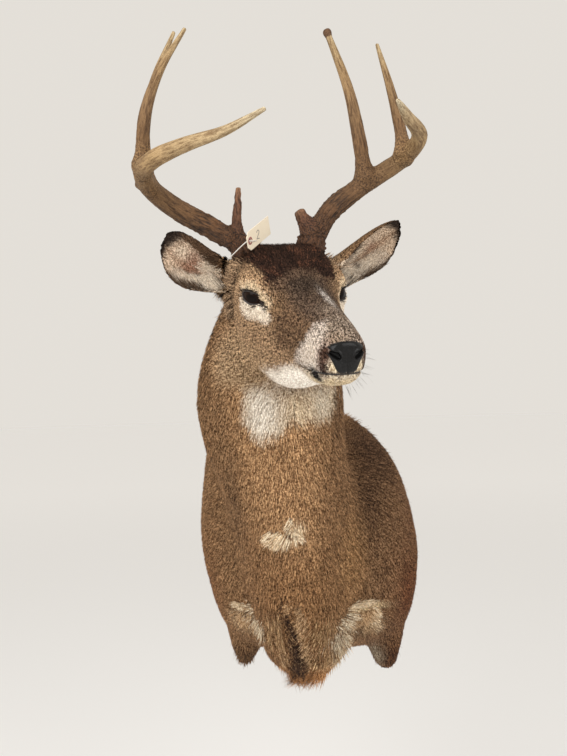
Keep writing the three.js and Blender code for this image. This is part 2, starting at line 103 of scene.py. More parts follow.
def near(points, centre, radii):
    """1 at the centre, falling to 0 some way past the radii."""
    d = (np.asarray(points) - np.asarray(centre, float)) / np.asarray(radii, float)
    return np.exp(-(d ** 2).sum(-1))


def blur(points, size, seed=0.0):
    """A soft wandering value from -1 to 1 that changes over the given size."""
    p = np.asarray(points) / size
    a = np.sin(p @ (1.0, 0.7, -0.4) + seed) + np.sin(p @ (-0.6, 1.1, 0.5) + 1.7 * seed + 1.0)
    b = np.sin(p @ (0.3, -0.8, 1.2) + 2.3 * seed + 2.0) + np.sin(2.1 * p @ (0.7, 0.4, 0.9) - seed)
    return (a + b) / 4.0


def is_ear(local):
    """1 on the ears, 0 elsewhere, soft between."""
    return (ramp(np.abs(local[:, 1]), 70, 84) * ramp(local[:, 2], -62, -42)
            * ramp(local[:, 0], -195, -165) * ramp(-local[:, 0], 20, 40))


def is_head(local):
    """1 on the head, 0 on the body, soft between."""
    inside = ramp(local[:, 0], -105, -65) * ramp(local[:, 2], -150, -125)
    return inside * (1 - ramp(np.abs(local[:, 1]), 80, 100))


def eye_axes():
    """The eye's way out, the way along its slit to the front corner, and the way up across it."""
    out = np.array((math.sin(EYE_FORWARD), math.cos(EYE_FORWARD), 0))
    along = np.array((math.cos(EYE_FORWARD), -math.sin(EYE_FORWARD), 0))
    up = np.array((0, 0, 1.0))
    return (out, math.cos(EYE_TILT) * along - math.sin(EYE_TILT) * up,
            math.cos(EYE_TILT) * up + math.sin(EYE_TILT) * along)


def slit_edge(x, top):
    """Height of the slit's edge above the middle of the eye."""
    bow = np.clip(1 - np.abs(x / EYE_SLIT[0]) ** 2.2, 0, 1) ** 0.75
    if top:
        return EYE_SLIT[1] * bow
    return -EYE_SLIT[2] * bow * np.where(x > 0, 1 - 0.25 * x / EYE_SLIT[0], 1)


def eye_place(local):
    """For points in the head's millimetres, by the nearer eye: distance from the eyeball's centre, the
    unit way out from it, how far along, up and out from the slit's middle, and how far inside the slit."""
    turned = np.where(local[:, 1] < 0, -1.0, 1.0)[:, None] * (0, 1, 0) + np.array((1, 0, 1))
    q = local * turned - EYE_AT
    out, along, up = eye_axes()
    reach = np.linalg.norm(q, axis=1)
    x, y, depth = q @ along, q @ up, q @ out
    duct = np.where(x > 0, 1.6, 0) * ramp(EYE_SLIT[0] + TEAR_DUCT - x, 0, 6)
    inside = np.minimum(np.maximum(slit_edge(x, True), duct) - y, y + np.maximum(-slit_edge(x, False), duct))
    inside = np.minimum(inside, EYE_SLIT[0] + TEAR_DUCT - x)
    return reach, (q / reach[:, None]) * turned, x, y, depth, inside


FLESH = ["head", "lower_jaw", "nose_pad", "neck", "trunk", "brisket", "foreleg_right", "foreleg_left",
         "ear_right", "ear_left"]
MEET = 0.0003  # each solid swells by this, to close the hairline gaps between them
HIDE_CELL = 0.0019  # how finely the joined solids are cut up
BODY_SHARE = 0.2  # the part of its faces that the body keeps


def joined_copy(name, nodes, swell=MEET):
    """One object made of the named solids, each swollen a little."""
    whole = bmesh.new()
    for node in nodes:
        part = bmesh.new()
        part.from_mesh(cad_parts[node].data)
        bmesh.ops.remove_doubles(part, verts=part.verts, dist=1e-6)
        part.normal_update()
        for v in part.verts:
            v.co += v.normal * swell
        mesh = bpy.data.meshes.new("part")
        part.to_mesh(mesh)
        part.free()
        whole.from_mesh(mesh)
        bpy.data.meshes.remove(mesh)
    mesh = bpy.data.meshes.new(name)
    whole.to_mesh(mesh)
    whole.free()
    obj = bpy.data.objects.new(name, mesh)
    bpy.context.collection.objects.link(obj)
    return obj


def apply_modifiers(obj):
    """Leaves obj with the mesh that its modifiers give, and no modifiers."""
    bpy.context.view_layer.update()
    made = bpy.data.meshes.new_from_object(obj.evaluated_get(bpy.context.evaluated_depsgraph_get()))
    old = obj.data
    obj.modifiers.clear()
    obj.data = made
    bpy.data.meshes.remove(old)


def recast(obj, cell):
    """The solid's surface made again in even cells, with everything that meets joined."""
    mod = obj.modifiers.new("recast", "REMESH")
    mod.mode = "VOXEL"
    mod.voxel_size = cell
    apply_modifiers(obj)


def get_points(mesh):
    flat = np.empty(len(mesh.vertices) * 3, np.float32)
    mesh.vertices.foreach_get("co", flat)
    return flat.reshape(-1, 3).astype(float)


def get_normals(mesh):
    flat = np.empty(len(mesh.vertices) * 3, np.float32)
    mesh.vertex_normals.foreach_get("vector", flat)
    return flat.reshape(-1, 3).astype(float)


def set_points(mesh, points):
    mesh.vertices.foreach_set("co", np.ascontiguousarray(points, np.float32).ravel())
    mesh.update()


def weigh(obj, name, weights):
    """Gives obj a vertex group with the weights, in ten steps."""
    group = obj.vertex_groups.new(name=name)
    steps = np.round(np.clip(weights, 0, 1) * 10).astype(int)
    for step in range(1, 11):
        chosen = np.nonzero(steps == step)[0].tolist()
        if chosen:
            group.add(chosen, step / 10, "REPLACE")
    return name


def soften(obj, weights, rounds):
    """Rounds the surface where the weights allow."""
    mod = obj.modifiers.new("soften", "SMOOTH")
    mod.factor = 0.5
    mod.iterations = rounds
    mod.vertex_group = weigh(obj, "soften", weights)
    apply_modifiers(obj)
    obj.vertex_groups.clear()


hide = joined_copy("hide", FLESH + ["eye_right", "eye_left"])
recast(hide, HIDE_CELL)
local = to_head(get_points(hide.data))
ear, skull = is_ear(local), is_head(local)
soften(hide, (1 - ear) * (1 - skull), 100)
soften(hide, 1 - 0.6 * ear, 14)

# The body needs fewer faces than the head, and the lids, lips and nose need more.
local = to_head(get_points(hide.data))
thin = hide.modifiers.new("thin", "DECIMATE")
thin.ratio = BODY_SHARE
thin.vertex_group = weigh(hide, "keep", 0.6 * is_ear(local) + is_head(local))
thin.invert_vertex_group = True
apply_modifiers(hide)
hide.vertex_groups.clear()

fine = bmesh.new()
fine.from_mesh(hide.data)
fine.verts.ensure_lookup_table()
local = to_head(get_points(hide.data))
reach, _, _, _, depth, _ = eye_place(local)
wanted = (reach < 30) & (depth > -2)
wanted |= near(local, (190, 0, -40), (38, 40, 34)) > 0.37
edges = [e for e in fine.edges if wanted[e.verts[0].index] and wanted[e.verts[1].index]]
bmesh.ops.subdivide_edges(fine, edges=edges, cuts=1, use_grid_fill=True, smooth=0.0)
bmesh.ops.triangulate(fine, faces=fine.faces)
fine.to_mesh(hide.data)
fine.free()


def coat_depth(points, local):
    """How far the coat's tips stand off the skin, in metres."""
    skull, ear = is_head(local), is_ear(local)
    face = 1.8 + 2.2 * ramp(-local[:, 0], -60, 20) + 2.0 * near(local, (-40, 0, 60), (45, 40, 30))
    face = np.where(local[:, 0] > 150, 1.8 - 0.9 * ramp(local[:, 0], 150, 185), face)
    body = 6.5 - 2.0 * ramp(-points[:, 2], 0.17, 0.21)
    depth = body * (1 - skull) + face * skull
    return (depth * (1 - ear) + 0.9 * ear) / 1000.0


WALL_SIDE = -0.0024  # the skin's rearmost reach, just in front of the wall
points, normals = get_points(hide.data), get_normals(hide.data)
points = points - normals * coat_depth(points, to_head(points))[:, None]
points[:, 1] = np.minimum(points[:, 1], WALL_SIDE)
set_points(hide.data, points)

# Lids: the skin clings to the eyeball all round the slit, and turns in behind it at the edge.
LID = 1.8  # its thickness
points = get_points(hide.data)
local = to_head(points)
reach, outward, x, _, depth, inside = eye_place(local)
zone = ramp(depth, 1, 6) * ramp(-reach, -44, -30)
cling = EYE_RADIUS + LID + 1.6 * ramp(-inside, 1, 6) - 0.9 * np.exp(-((inside + 7.0) / 2.2) ** 2)
far = ramp(-inside, 3, 13)
lid_reach = np.where(reach < cling, cling, cling + (reach - cling) * far)
open_reach = EYE_RADIUS - 2.5
edge = ramp(inside, -0.5, 0.7)
x_duct = ramp(x, EYE_SLIT[0] + 0.5, EYE_SLIT[0] + 3)
open_reach = open_reach * (1 - x_duct) + (lid_reach - 2.2) * x_duct
new_reach = lid_reach * (1 - edge) + open_reach * edge
new_reach = reach * (1 - zone) + new_reach * zone
centre = np.where(local[:, 1:2] < 0, -1.0, 1.0) * (0, 1, 0) * EYE_AT + EYE_AT * (1, 0, 1)
changed = (reach < 45) & (depth > 1)
local = np.where(changed[:, None], centre + outward * new_reach[:, None], local)

# Lips: a fold along the closed mouth, plump above and below it.
MOUTH = ((-20.0, -126.0), (0.0, -112.0), (30.0, -92.0), (60.0, -76.0), (102.0, -62.0), (120.0, -57.0),
         (150.0, -54.0), (175.0, -49.5), (200.0, -45.5), (230.0, -44.0))


def mouth_height(along):
    return np.interp(along, [m[0] for m in MOUTH], [m[1] for m in MOUTH])


off = local[:, 2] - mouth_height(local[:, 0])
on = ramp(local[:, 0], 112, 124) * (np.abs(local[:, 1]) < 45)
push = on * (0.7 * np.exp(-((off - 4.5) / 3.0) ** 2) + 0.6 * np.exp(-((off + 4.5) / 3.0) ** 2)
             - 2.0 * np.exp(-(off / 1.5) ** 2))
set_points(hide.data, from_head(local))
local = local + (get_normals(hide.data) @ HEAD_AXES) * push[:, None]
set_points(hide.data, from_head(local))

# The creases between the neck and the shoulders are shallow, so the form is filled there.
points = get_points(hide.data)
near_left = near(points, (0.054, -0.27, 0.0), (0.05, 0.07, 0.10))
near_right = near(points, (-0.108, -0.28, 0.06), (0.045, 0.07, 0.11))
soften(hide, 1.3 * np.maximum(near_left, near_right), 60)

# The hide is unwrapped by its own shape; the coat takes its places from this map.
bpy.context.view_layer.objects.active = hide
hide.select_set(True)
for layer in list(hide.data.uv_layers):
    hide.data.uv_layers.remove(layer)
hide.data.uv_layers.new(name="OFBake")
bpy.ops.object.mode_set(mode="EDIT")
bpy.ops.mesh.select_all(action="SELECT")
bpy.ops.uv.smart_project(angle_limit=math.radians(66), island_margin=0.002)
bpy.ops.object.mode_set(mode="OBJECT")
hide.select_set(False)
hide.data.shade_smooth()


def linear(srgb):
    """A colour from 0 to 255, as a screen shows it, in the light's own measure."""
    c = np.asarray(srgb, float) / 255.0
    return np.where(c <= 0.04045, c / 12.92, ((c + 0.055) / 1.055) ** 2.4)


def paint(colour, srgb, mask):
    """The colour goes over to another where the mask is 1."""
    m = np.clip(mask, 0, 1)[:, None]
    return colour * (1 - m) + linear(srgb) * m


# The buck's left ear is 1 and the right one -1: root, tip, and the way that the hollow faces.
EAR_BASE = {1: (0.016, -0.303, 0.394), -1: (-0.084, -0.339, 0.384)}
EAR_TIP = {1: (0.141, -0.262, 0.466), -1: (-0.203, -0.318, 0.446)}
EAR_FACING = {1: (0.35, -0.6, -0.7), -1: (-0.1, -0.95, -0.2)}
EAR_BOW = {1: -0.002, -1: -0.013}  # how far its middle line bends sideways
EAR_SLIM = {1: 0.04, -1: 0.15}  # how much narrower it is than the usual ear
BRISKET_SEAM = np.array(((-0.049, -0.333, -0.056), (-0.047, -0.331, -0.070), (-0.040, -0.326, -0.090),
                         (-0.033, -0.318, -0.109), (-0.029, -0.300, -0.136), (-0.027, -0.272, -0.166),
                         (-0.026, -0.240, -0.196)))
ARMPITS = ((-0.104, -0.189, -0.125), (0.070, -0.20, -0.135))


def ear_place(points, local):
    """How far from the ear's root to its tip, how far from its middle line to its edge, and the way
    that its hollow faces."""
    far, across, facing_in = np.zeros(len(points)), np.zeros(len(points)), np.zeros((len(points), 3))
    for turned in (-1, 1):
        base, tip = np.array(EAR_BASE[turned]), np.array(EAR_TIP[turned])
        long = np.linalg.norm(tip - base)
        way, facing = unit(tip - base), unit(EAR_FACING[turned])
        facing = unit(facing - way * (facing @ way))
        wide = np.cross(way, facing)
        wide = wide * np.sign(wide[2])
        mine = np.sign(local[:, 1]) == turned
        q = points[mine] - base
        t = q @ way / long
        half = np.interp(t, (0, .15, .35, .58, .78, .92, 1), (.02, .025, .034, .042, .039, .027, .008))
        half = half * (1 - EAR_SLIM[turned] * np.clip(2.5 * t, 0, 1))
        far[mine] = t
        across[mine] = (q @ wide - EAR_BOW[turned] * np.sin(math.pi * np.clip(t, 0, 1))) / half
        facing_in[mine] = facing
    return far, across, facing_in


def seam_place(points):
    """Distance from the seam down the brisket, and how far down it, from 0 to 1."""
    best, down = np.full(len(points), 9.0), np.zeros(len(points))
    for i in range(len(BRISKET_SEAM) - 1):
        a, b = BRISKET_SEAM[i], BRISKET_SEAM[i + 1]
        t = np.clip((points - a) @ (b - a) / ((b - a) @ (b - a)), 0, 1)
        d = np.linalg.norm((points - a - t[:, None] * (b - a)) * (1, 0.3, 1), axis=1)
        down = np.where(d < best, (i + t) / (len(BRISKET_SEAM) - 1), down)
        best = np.minimum(best, d)
    return best, down


def patched(colour, places, *rows, within=1.0):
    """Soft patches in the coat. Each row is a colour, its strength, its middle and its reach in mm."""
    for srgb, strength, middle, reach in rows:
        colour = paint(colour, srgb, strength * within * near(places, middle, reach))
    return colour


def body_markings(points, normals, stray):
    """Neck and trunk: brown, with painted light where they face forward and painted shade on the sides and
    where they face the wall, a white throat, pale armpits and a dark seam below.
    """
    mm = points * 1000.0
    x, y, z = mm.T
    # Painted light and shade: paler where the neck faces forward, darker on the right side, high up where the
    # coat faces the wall, and on the far left side.
    body = paint(np.tile(linear((136, 103, 72)), (len(points), 1)), (158, 122, 86),
                 ramp(-normals[:, 1], 0.45, 0.95) * ramp(-y, 230, 290))
    body = paint(body, (134, 99, 66), near(mm, (-30, -340, -60), (90, 90, 75)))
    body = paint(body, (130, 99, 69), ramp(-x + 6 * stray, 92, 125) * 0.9)
    body = paint(body, (96, 74, 54), ramp(normals[:, 1], 0.0, 0.5) * ramp(z, 90, 200))
    body = paint(body, (118, 89, 63), ramp(x + 8 * stray, 55, 85) * ramp(y, -290, -230))
    # Painted shade on the far left shoulder, the rusty flanks, and painted shade in the creases beside the
    # neck.
    body = patched(body, mm,
                   # Painted shade on the far left shoulder, and in the crease in front of it.
                   ((80, 58, 41), 1.1, (95, -100, 125), (56, 90, 62)),
                   ((82, 60, 42), 0.9, (84, -190, 60), (22, 60, 70)),
                   ((98, 62, 40), 1.1, (152, -135, -95), (34, 110, 75)),
                   ((118, 78, 50), 0.7, (-160, -90, -80), (30, 90, 80)),
                   ((104, 72, 50), 0.7, (166, -100, 20), (26, 90, 70)),
                   ((168, 128, 84), 0.9, (62, -288, -20), (24, 60, 66)),
                   # Painted shade in the creases beside the neck.
                   ((86, 64, 46), 0.7, (34, -300, 215), (12, 50, 42)),
                   ((98, 74, 52), 0.75, (47, -307, 100), (9, 40, 90)),
                   ((92, 70, 50), 0.7, (-112, -300, 40), (12, 50, 90)),
                   ((172, 134, 96), 0.7, (-104, -318, 285), (20, 60, 40)))
    # The throat is white, in two lobes with a ragged lower edge.
    ragged = blur(points, 0.0042, 3.0) * np.exp(-(blur(points, 0.02, 7.0)) ** 2)
    throat_floor = np.interp(x, (-90, -70, -45, -30, -10, 10, 30), (184, 163, 172, 186, 184, 188, 200))
    throat = (ramp(-normals[:, 1], 0.25, 0.6) * ramp(z + 9 * ragged, throat_floor - 12, throat_floor + 12)
              * ramp(-z, -300, -262) * ramp(x + 6 * ragged, -100, -80) * ramp(-x + 4 * stray, -36, -22))
    body = paint(body, (196, 176, 148), 0.95 * throat)
    body = patched(body, mm,
                   ((232, 224, 210), 1.25, (-68, -345, 202), (24, 60, 42)),
                   ((222, 210, 190), 1.0, (14, -335, 214), (13, 60, 30)),
                   ((206, 186, 156), 0.8, (-20, -345, 200), (9, 60, 20)), within=throat)
    body = patched(body, mm, ((134, 104, 72), 0.85, (-30, -345, 236), (24, 60, 16)),
                   within=throat * (1 + stray))
    # The swirl on the chest, with painted shadow between its parts and below it.
    body = patched(body, mm,
                   ((216, 194, 162), 1.1, (-47, -352, 26), (14, 40, 7)),
                   ((206, 184, 152), 1.0, (-25, -352, 42), (9, 40, 9)),
                   ((92, 66, 46), 0.9, (-33, -352, 35), (5, 40, 6)),
                   ((104, 76, 52), 0.6, (-46, -352, 6), (18, 40, 6)))
    for armpit, wide in zip(ARMPITS, (32, 40)):
        d = (mm - np.array(armpit) * 1000) / (wide, 60, 27)
        ring = np.linalg.norm(d[:, (0, 2)], axis=1)
        here = ramp(-np.abs(d[:, 1]), -1.6, -0.9)
        rays = blur(np.column_stack([np.arctan2(d[:, 2] - 0.9, d[:, 0]) * 9, ring, ring]), 1.0, 2.0)
        body = paint(body, (158, 130, 98), here * ramp(-ring + 0.25 * stray, -1.05, -0.45))
        body = paint(body, (98, 74, 54), 0.75 * here * ramp(-ring, -1.1, -0.6) * ramp(rays, 0.15, 0.5))
        body = paint(body, (204, 182, 150), 0.6 * here * ramp(-ring, -1.1, -0.6) * ramp(-rays, 0.15, 0.5))
    body = patched(body, mm, ((236, 212, 168), 1.3, (72, -215, -103), (30, 60, 5.0)))
    body = patched(body, mm, ((212, 198, 176), 0.8, (52, -250, -118), (22, 50, 10)), within=1 + stray)
    # The brisket is rusty below, with a dark seam down its middle.
    body = patched(body, mm, ((178, 126, 78), 1.1, (-12, -250, -200), (62, 75, 60)),
                   within=ramp(-z, 150, 190))
    body = patched(body, mm, ((206, 186, 154), 1.1, (36, -245, -168), (14, 50, 26)))
    seam, down = seam_place(points)
    body = paint(body, (120, 84, 56), 0.6 * ramp(down, 0.2, 0.8) * ramp(-seam, -0.05, -0.02))
    wide = (3.2 + 8.5 * down ** 1.4) * (1 + 0.5 * stray)
    body = paint(body, (44, 30, 21), 1.3 * ramp(-seam * 1000, -1.6 * wide, -0.5 * wide) * (down < 0.97))
    # The stubs of the forelegs are dark, the left one with a pale inner side.
    return patched(body, mm,
                   ((88, 64, 43), 1.1, (-116, -87, -212), (34, 90, 34)),
                   ((76, 48, 29), 1.0, (126, -80, -215), (36, 90, 44)),
                   ((178, 164, 140), 0.9, (101, -98, -212), (11, 40, 22)))


def face_markings(points, local, stray):
    """The face: grey-brown, with a dark cap, pale rings round the eyes, and white muzzle and jaw."""
    f, l, u = local.T
    side = np.abs(l)
    folded = np.stack([f, side, u], 1)
    face = np.tile(linear((139, 112, 84)), (len(points), 1))
    face = paint(face, (157, 130, 99), ramp(-u, 45, 85) * ramp(-f, -60, 10))
    face = paint(face, (93, 71, 51), ramp(f + 0.3 * u, 22, 62) * ramp(u, -62, -40))
    face = patched(face, local * (1, 0, 1), ((114, 89, 63), 0.8, (46, 0, -2), (22, 9, 14)),
                   within=ramp(side, 24, 36))
    face = paint(face, (76, 60, 47), ramp(f, 2, 24) * ramp(-side, -36, -20) * ramp(u, -8, 6))
    # A pale line along the far ridge of the nose is a painted highlight.
    face = patched(face, local,
                   ((48, 38, 29), 0.85, (52, -6, 22), (38, 20, 22)),
                   ((186, 178, 168), 0.75, (98, 11, 15), (30, 4.5, 12)),
                   ((136, 120, 104), 0.6, (134, 2, 10), (18, 13, 12)))

    # The dark cap between the antlers, its front edge lowest by the temples.
    cap_edge = np.interp(np.where(side > 26, -side, l), (-62, -50, -44, -35, -26, -12, -1, 19, 26),
                         (-26, 9, 27, 30, 25, 18, 14, 14, 22))
    cap_side = np.interp(f, (-90, -60, -30, -10, 5, 22), (66, 61, 56, 52, 50, 46))
    cap = ramp(cap_edge - f + 7 * stray, -5, 7) * ramp(cap_side - side + 4 * stray, -4, 5) * ramp(u, 4, 16)
    cap_fringe = ramp(cap_edge + 16 - f + 9 * stray, -10, 10) * ramp(40 - side, -6, 8) * ramp(u, 4, 16)
    cap_flecks = ramp(blur(points, 0.0075, 5.0) + blur(points, 0.002, 2.0), 0.2, 0.8)
    face = paint(face, (78, 60, 46), 0.75 * cap_fringe)
    face = paint(face, (40, 25, 17), 1.05 * cap)
    face = paint(face, (84, 53, 37), 0.85 * cap * cap_flecks)
    # Dark fur and painted shade in the corner where each ear's root meets the skull.
    face = patched(face, folded, ((44, 33, 26), 0.95, (-52, 64, 32), (13, 9, 10)))

    # The eye's pale ring, its dark rim and the dark corner in front of it.
    reach, _, ex, ey, depth, inside = eye_place(local)
    eye_zone = ramp(depth, -6, 2)
    above = ramp(ey + 0.22 * ex, -2, 6)
    brow = above * ramp(inside - 3 * stray, -21, -12) * ramp(12 - ex, -6, 8)
    ring = above * ramp(inside - 2 * stray, -14, -8) * ramp(34 - ex, -6, 6)
    pouch = ((1 - above) * ramp(inside + 4 * stray, -24, -15)
             * ramp(ex + 2 * stray, -19, -11) * ramp(-ex + 2 * stray, -43, -35))
    corner_half = 2.9 * (1 - (ex - 12) / 17) + 1.2
    corner = ramp(corner_half - np.abs(ey + 0.03 * (ex - 14) ** 2 - 1.2), -0.8, 0.6)
    face = paint(face, (168, 136, 102), 0.8 * eye_zone * brow)
    face = paint(face, (214, 192, 160), eye_zone * ring)
    face = paint(face, (228, 216, 198), eye_zone * pouch)
    face = paint(face, (26, 20, 17), 1.2 * eye_zone * corner * ramp(ex, 8, 14) * ramp(31 - ex, 0, 4))
    face = paint(face, (30, 22, 18), eye_zone * ramp(inside, -2.6 - 0.9 * above, -1.2) * ramp(reach, 15, 17))

    # The white of the jaw and the muzzle with a painted highlight on each side of the muzzle, the brown crest
    # behind the nose, and the dark round the nostrils.
    mouth = mouth_height(f)
    streak = blur(local * (0.35, 1, 1), 2.2, 4.0)
    jaw_top = mouth + 19 * ramp(-f, -45, 15)
    jaw = ramp(jaw_top - u - 2 + 7 * stray + 4 * streak, -6, 11) * ramp(f + 9 * stray + 8 * streak, -30, 22)
    face = paint(face, (255, 250, 240), 1.0 * jaw)
    face = paint(face, (206, 187, 154), jaw * ramp(f, 126, 150))
    rear = np.interp(u, (-61, -45, -24, -4, 6), (106, 115, 137, 148, 158))
    band = ramp(f + 6 * stray + 3 * streak, rear - 8, rear + 10) * (u > mouth - 1)
    face = paint(face, (162, 149, 136), 1.05 * band)
    # Painted highlight on the white band at each side of the muzzle.
    face = patched(face, folded, ((210, 198, 184), 0.9, (158, 27, -32), (26, 12, 20)), within=band)
    crest = ramp(f, 138, 160) * ramp(u, -16, -7) * ramp(l + 3 * streak + 0.35 * (f - 160), -17, -7)
    face = paint(face, (114, 99, 84), 1.0 * crest * (1 + 0.25 * streak))
    face = paint(face, (168, 152, 138), 0.6 * crest * ramp(streak, 0.25, 0.6))
    face = patched(face, local, ((120, 103, 86), 1.1, (188, -9, -7), (13, 14, 8)), within=1 + 0.2 * streak)
    for turned in (-1, 1):
        face = patched(face, local * (1, turned, 1),
                       ((128, 88, 64), 0.8, (188, 24.5, -30), (10, 9, 19)),
                       ((54, 36, 27), 1.5, (190, 23, -23), (7.5, 7, 10)),
                       ((46, 30, 23), 1.5, (188, 23, -40), (7.5, 7, 9)),
                       ((218, 202, 172), 1.3, (199, 15, -38), (5.5, 6, 7.5)),
                       ((20, 15, 13), 2.4, (167, 26, -56), (9, 10, 8)))
    return paint(face, (24, 19, 17), ramp(-np.abs(u - mouth), -2.0, -0.9) * ramp(f, 115, 121))


def ear_fans(far, across):
    """Streaks that fan out from the ear's root, from -1 to 1."""
    return blur(np.stack([1.6 * far, 7 * across, 0 * far], 1), 1.0, 2.0)


def ear_markings(points, normals, local, stray):
    """The ears: brown behind, dark at the tip and edge, cream with brown streaks in the hollow."""
    mm = points * 1000.0
    far, across, facing_in = ear_place(points, local)
    within = ramp((normals * facing_in).sum(1), 0.05, 0.35)[:, None]
    outer = paint(np.tile(linear((126, 98, 70)), (len(points), 1)), (62, 48, 38), ramp(far, 0.72, 0.95))
    outer = paint(outer, (168, 138, 104), 0.8 * ramp(-far, -0.3, -0.05))
    inner = np.tile(linear((220, 200, 176)), (len(points), 1))
    inner = paint(inner, (186, 162, 138), 0.8 * ramp(far, 0.5, 0.85))
    fans = ear_fans(far, across)
    inner = paint(inner, (146, 114, 88), 0.75 * ramp(fans, 0.12, 0.5))
    inner = paint(inner, (236, 222, 200), 0.7 * ramp(-fans, 0.12, 0.5) * ramp(-far, -0.6, -0.3))
    # The bare reddish skin deep in each ear, the tufts before it, and the shade at its root.
    inner = patched(inner, mm,
                    ((132, 92, 72), 0.8, (-161, -322, 408), (18, 40, 20)),
                    ((132, 92, 72), 0.7, (-157, -322, 408), (8, 40, 12)),
                    ((132, 92, 72), 0.6, (94, -270, 436), (12, 40, 9)),
                    ((132, 92, 72), 0.6, (105, -270, 412), (12, 40, 8)), within=1 + 0.6 * stray)
    inner = patched(inner, mm,
                    ((196, 180, 160), 0.7, (-176, -320, 428), (12, 40, 9)),
                    ((122, 96, 76), 0.7, (-176, -320, 392), (7, 40, 9)),
                    ((72, 52, 40), 1.1, (-149, -325, 387), (9, 40, 4)),
                    ((72, 52, 40), 1.1, (-139, -327, 380), (7, 40, 4)),
                    ((72, 52, 40), 1.1, (57, -290, 395), (10, 40, 7)))
    edge_at = np.where(across > 0, np.interp(far, (0.1, 0.35, 0.6, 0.85), (0.02, 0.34, 0.56, 0.70)), 0.9)
    edge = ramp(np.abs(across) + 0.06 * stray, edge_at - 0.08, edge_at + 0.06) * ramp(far, 0.12, 0.3)
    inner = paint(inner, (92, 70, 52), edge)
    inner = paint(inner, (50, 40, 33), ramp(far + 0.16 * np.maximum(across, 0) + 0.05 * stray, 0.86, 0.95))
    return outer * (1 - within) + inner * within


def markings(points, normals):
    """The coat's colour before its ticking, linear."""
    local = to_head(points)
    stray = blur(points, 0.009) * 0.6 + blur(points, 0.0035, 3.0) * 0.5
    skull, ear = is_head(local)[:, None], is_ear(local)[:, None]
    colour = body_markings(points, normals, stray) * (1 - skull) + face_markings(points, local, stray) * skull
    return colour * (1 - ear) + ear_markings(points, normals, local, stray) * ear


def tint(obj, colours):
    """Stores a colour at each point, for the finish to read."""
    layer = obj.data.color_attributes.new("tint", "FLOAT_COLOR", "POINT")
    rows = np.column_stack([colours, np.ones(len(colours))])
    layer.data.foreach_set("color", rows.astype(np.float32).ravel())


class Socket:
    """A shader value that takes part in Python sums. Each sum adds its Math node."""

    def __init__(self, tree, socket):
        self.tree, self.socket = tree, socket

    def node(self, kind, settings=(), out=0, **inputs):
        made = self.tree.nodes.new(kind)
        for name, value in dict(settings).items():
            setattr(made, name, value)
        for name, value in inputs.items():
            place = made.inputs[int(name[1:])] if name[1:].isdigit() else made.inputs[name.replace("_", " ")]
            if isinstance(value, Socket):
                self.tree.links.new(value.socket, place)
            else:
                place.default_value = value
        return Socket(self.tree, made.outputs[out])

    def math(self, operation, *values):
        return self.node("ShaderNodeMath", {"operation": operation},
                         **{f"_{i}": v for i, v in enumerate(values)})

    def __add__(self, other):
        return self.math("ADD", self, other)

    def __mul__(self, other):
        return self.math("MULTIPLY", self, other)

    def __sub__(self, other):
        return self.math("SUBTRACT", self, other)

    def __rsub__(self, other):
        return self.math("SUBTRACT", other, self)

    def __truediv__(self, other):
        return self.math("DIVIDE", self, other)

    __radd__, __rmul__ = __add__, __mul__

    def ramp(self, low, high):
        return self.node("ShaderNodeMapRange", {"interpolation_type": "SMOOTHSTEP"},
                         Value=self, From_Min=low, From_Max=high)

    def mix(self, a, b):
        """Colour a where self is 0, colour b where it is 1."""
        return self.node("ShaderNodeMix", {"data_type": "RGBA"}, 2, _0=self, _6=a, _7=b)

    def noise(self, where, scale, detail=2.0, roughness=0.5):
        return self.node("ShaderNodeTexNoise", (), 0, Vector=where, Scale=scale, Detail=detail,
                         Roughness=roughness)

    def stored(self, name, out=0):
        """What the mesh keeps at each point under a name: 0 its colour, 1 its vector, 2 its number."""
        return self.node("ShaderNodeAttribute", {"attribute_name": name}, out)

    def times(self, other):
        """This colour times another."""
        return self.node("ShaderNodeMix", {"data_type": "RGBA", "blend_type": "MULTIPLY"}, 2,
                         _0=1.0, _6=self, _7=other)

    def bump(self, height, distance, strength=1.0):
        return self.node("ShaderNodeBump", (), 0, Height=height, Distance=distance, Strength=strength)


def finish(name, **fixed):
    """A new material: its start for sums, its Object coordinates, and its main shader."""
    material = bpy.data.materials.new(name)
    material.use_nodes = True
    tree = material.node_tree
    shader = next(n for n in tree.nodes if n.type == "BSDF_PRINCIPLED")
    for socket, value in fixed.items():
        shader.inputs[socket.replace("_", " ")].default_value = value
    start = Socket(tree, None)
    where = start.node("ShaderNodeTexCoord", (), 3)
    return material, start, where, shader


def feed(start, shader, **sockets):
    """Links worked-out values to the main shader's sockets."""
    for name, value in sockets.items():
        start.tree.links.new(value.socket, shader.inputs[name.replace("_", " ")])


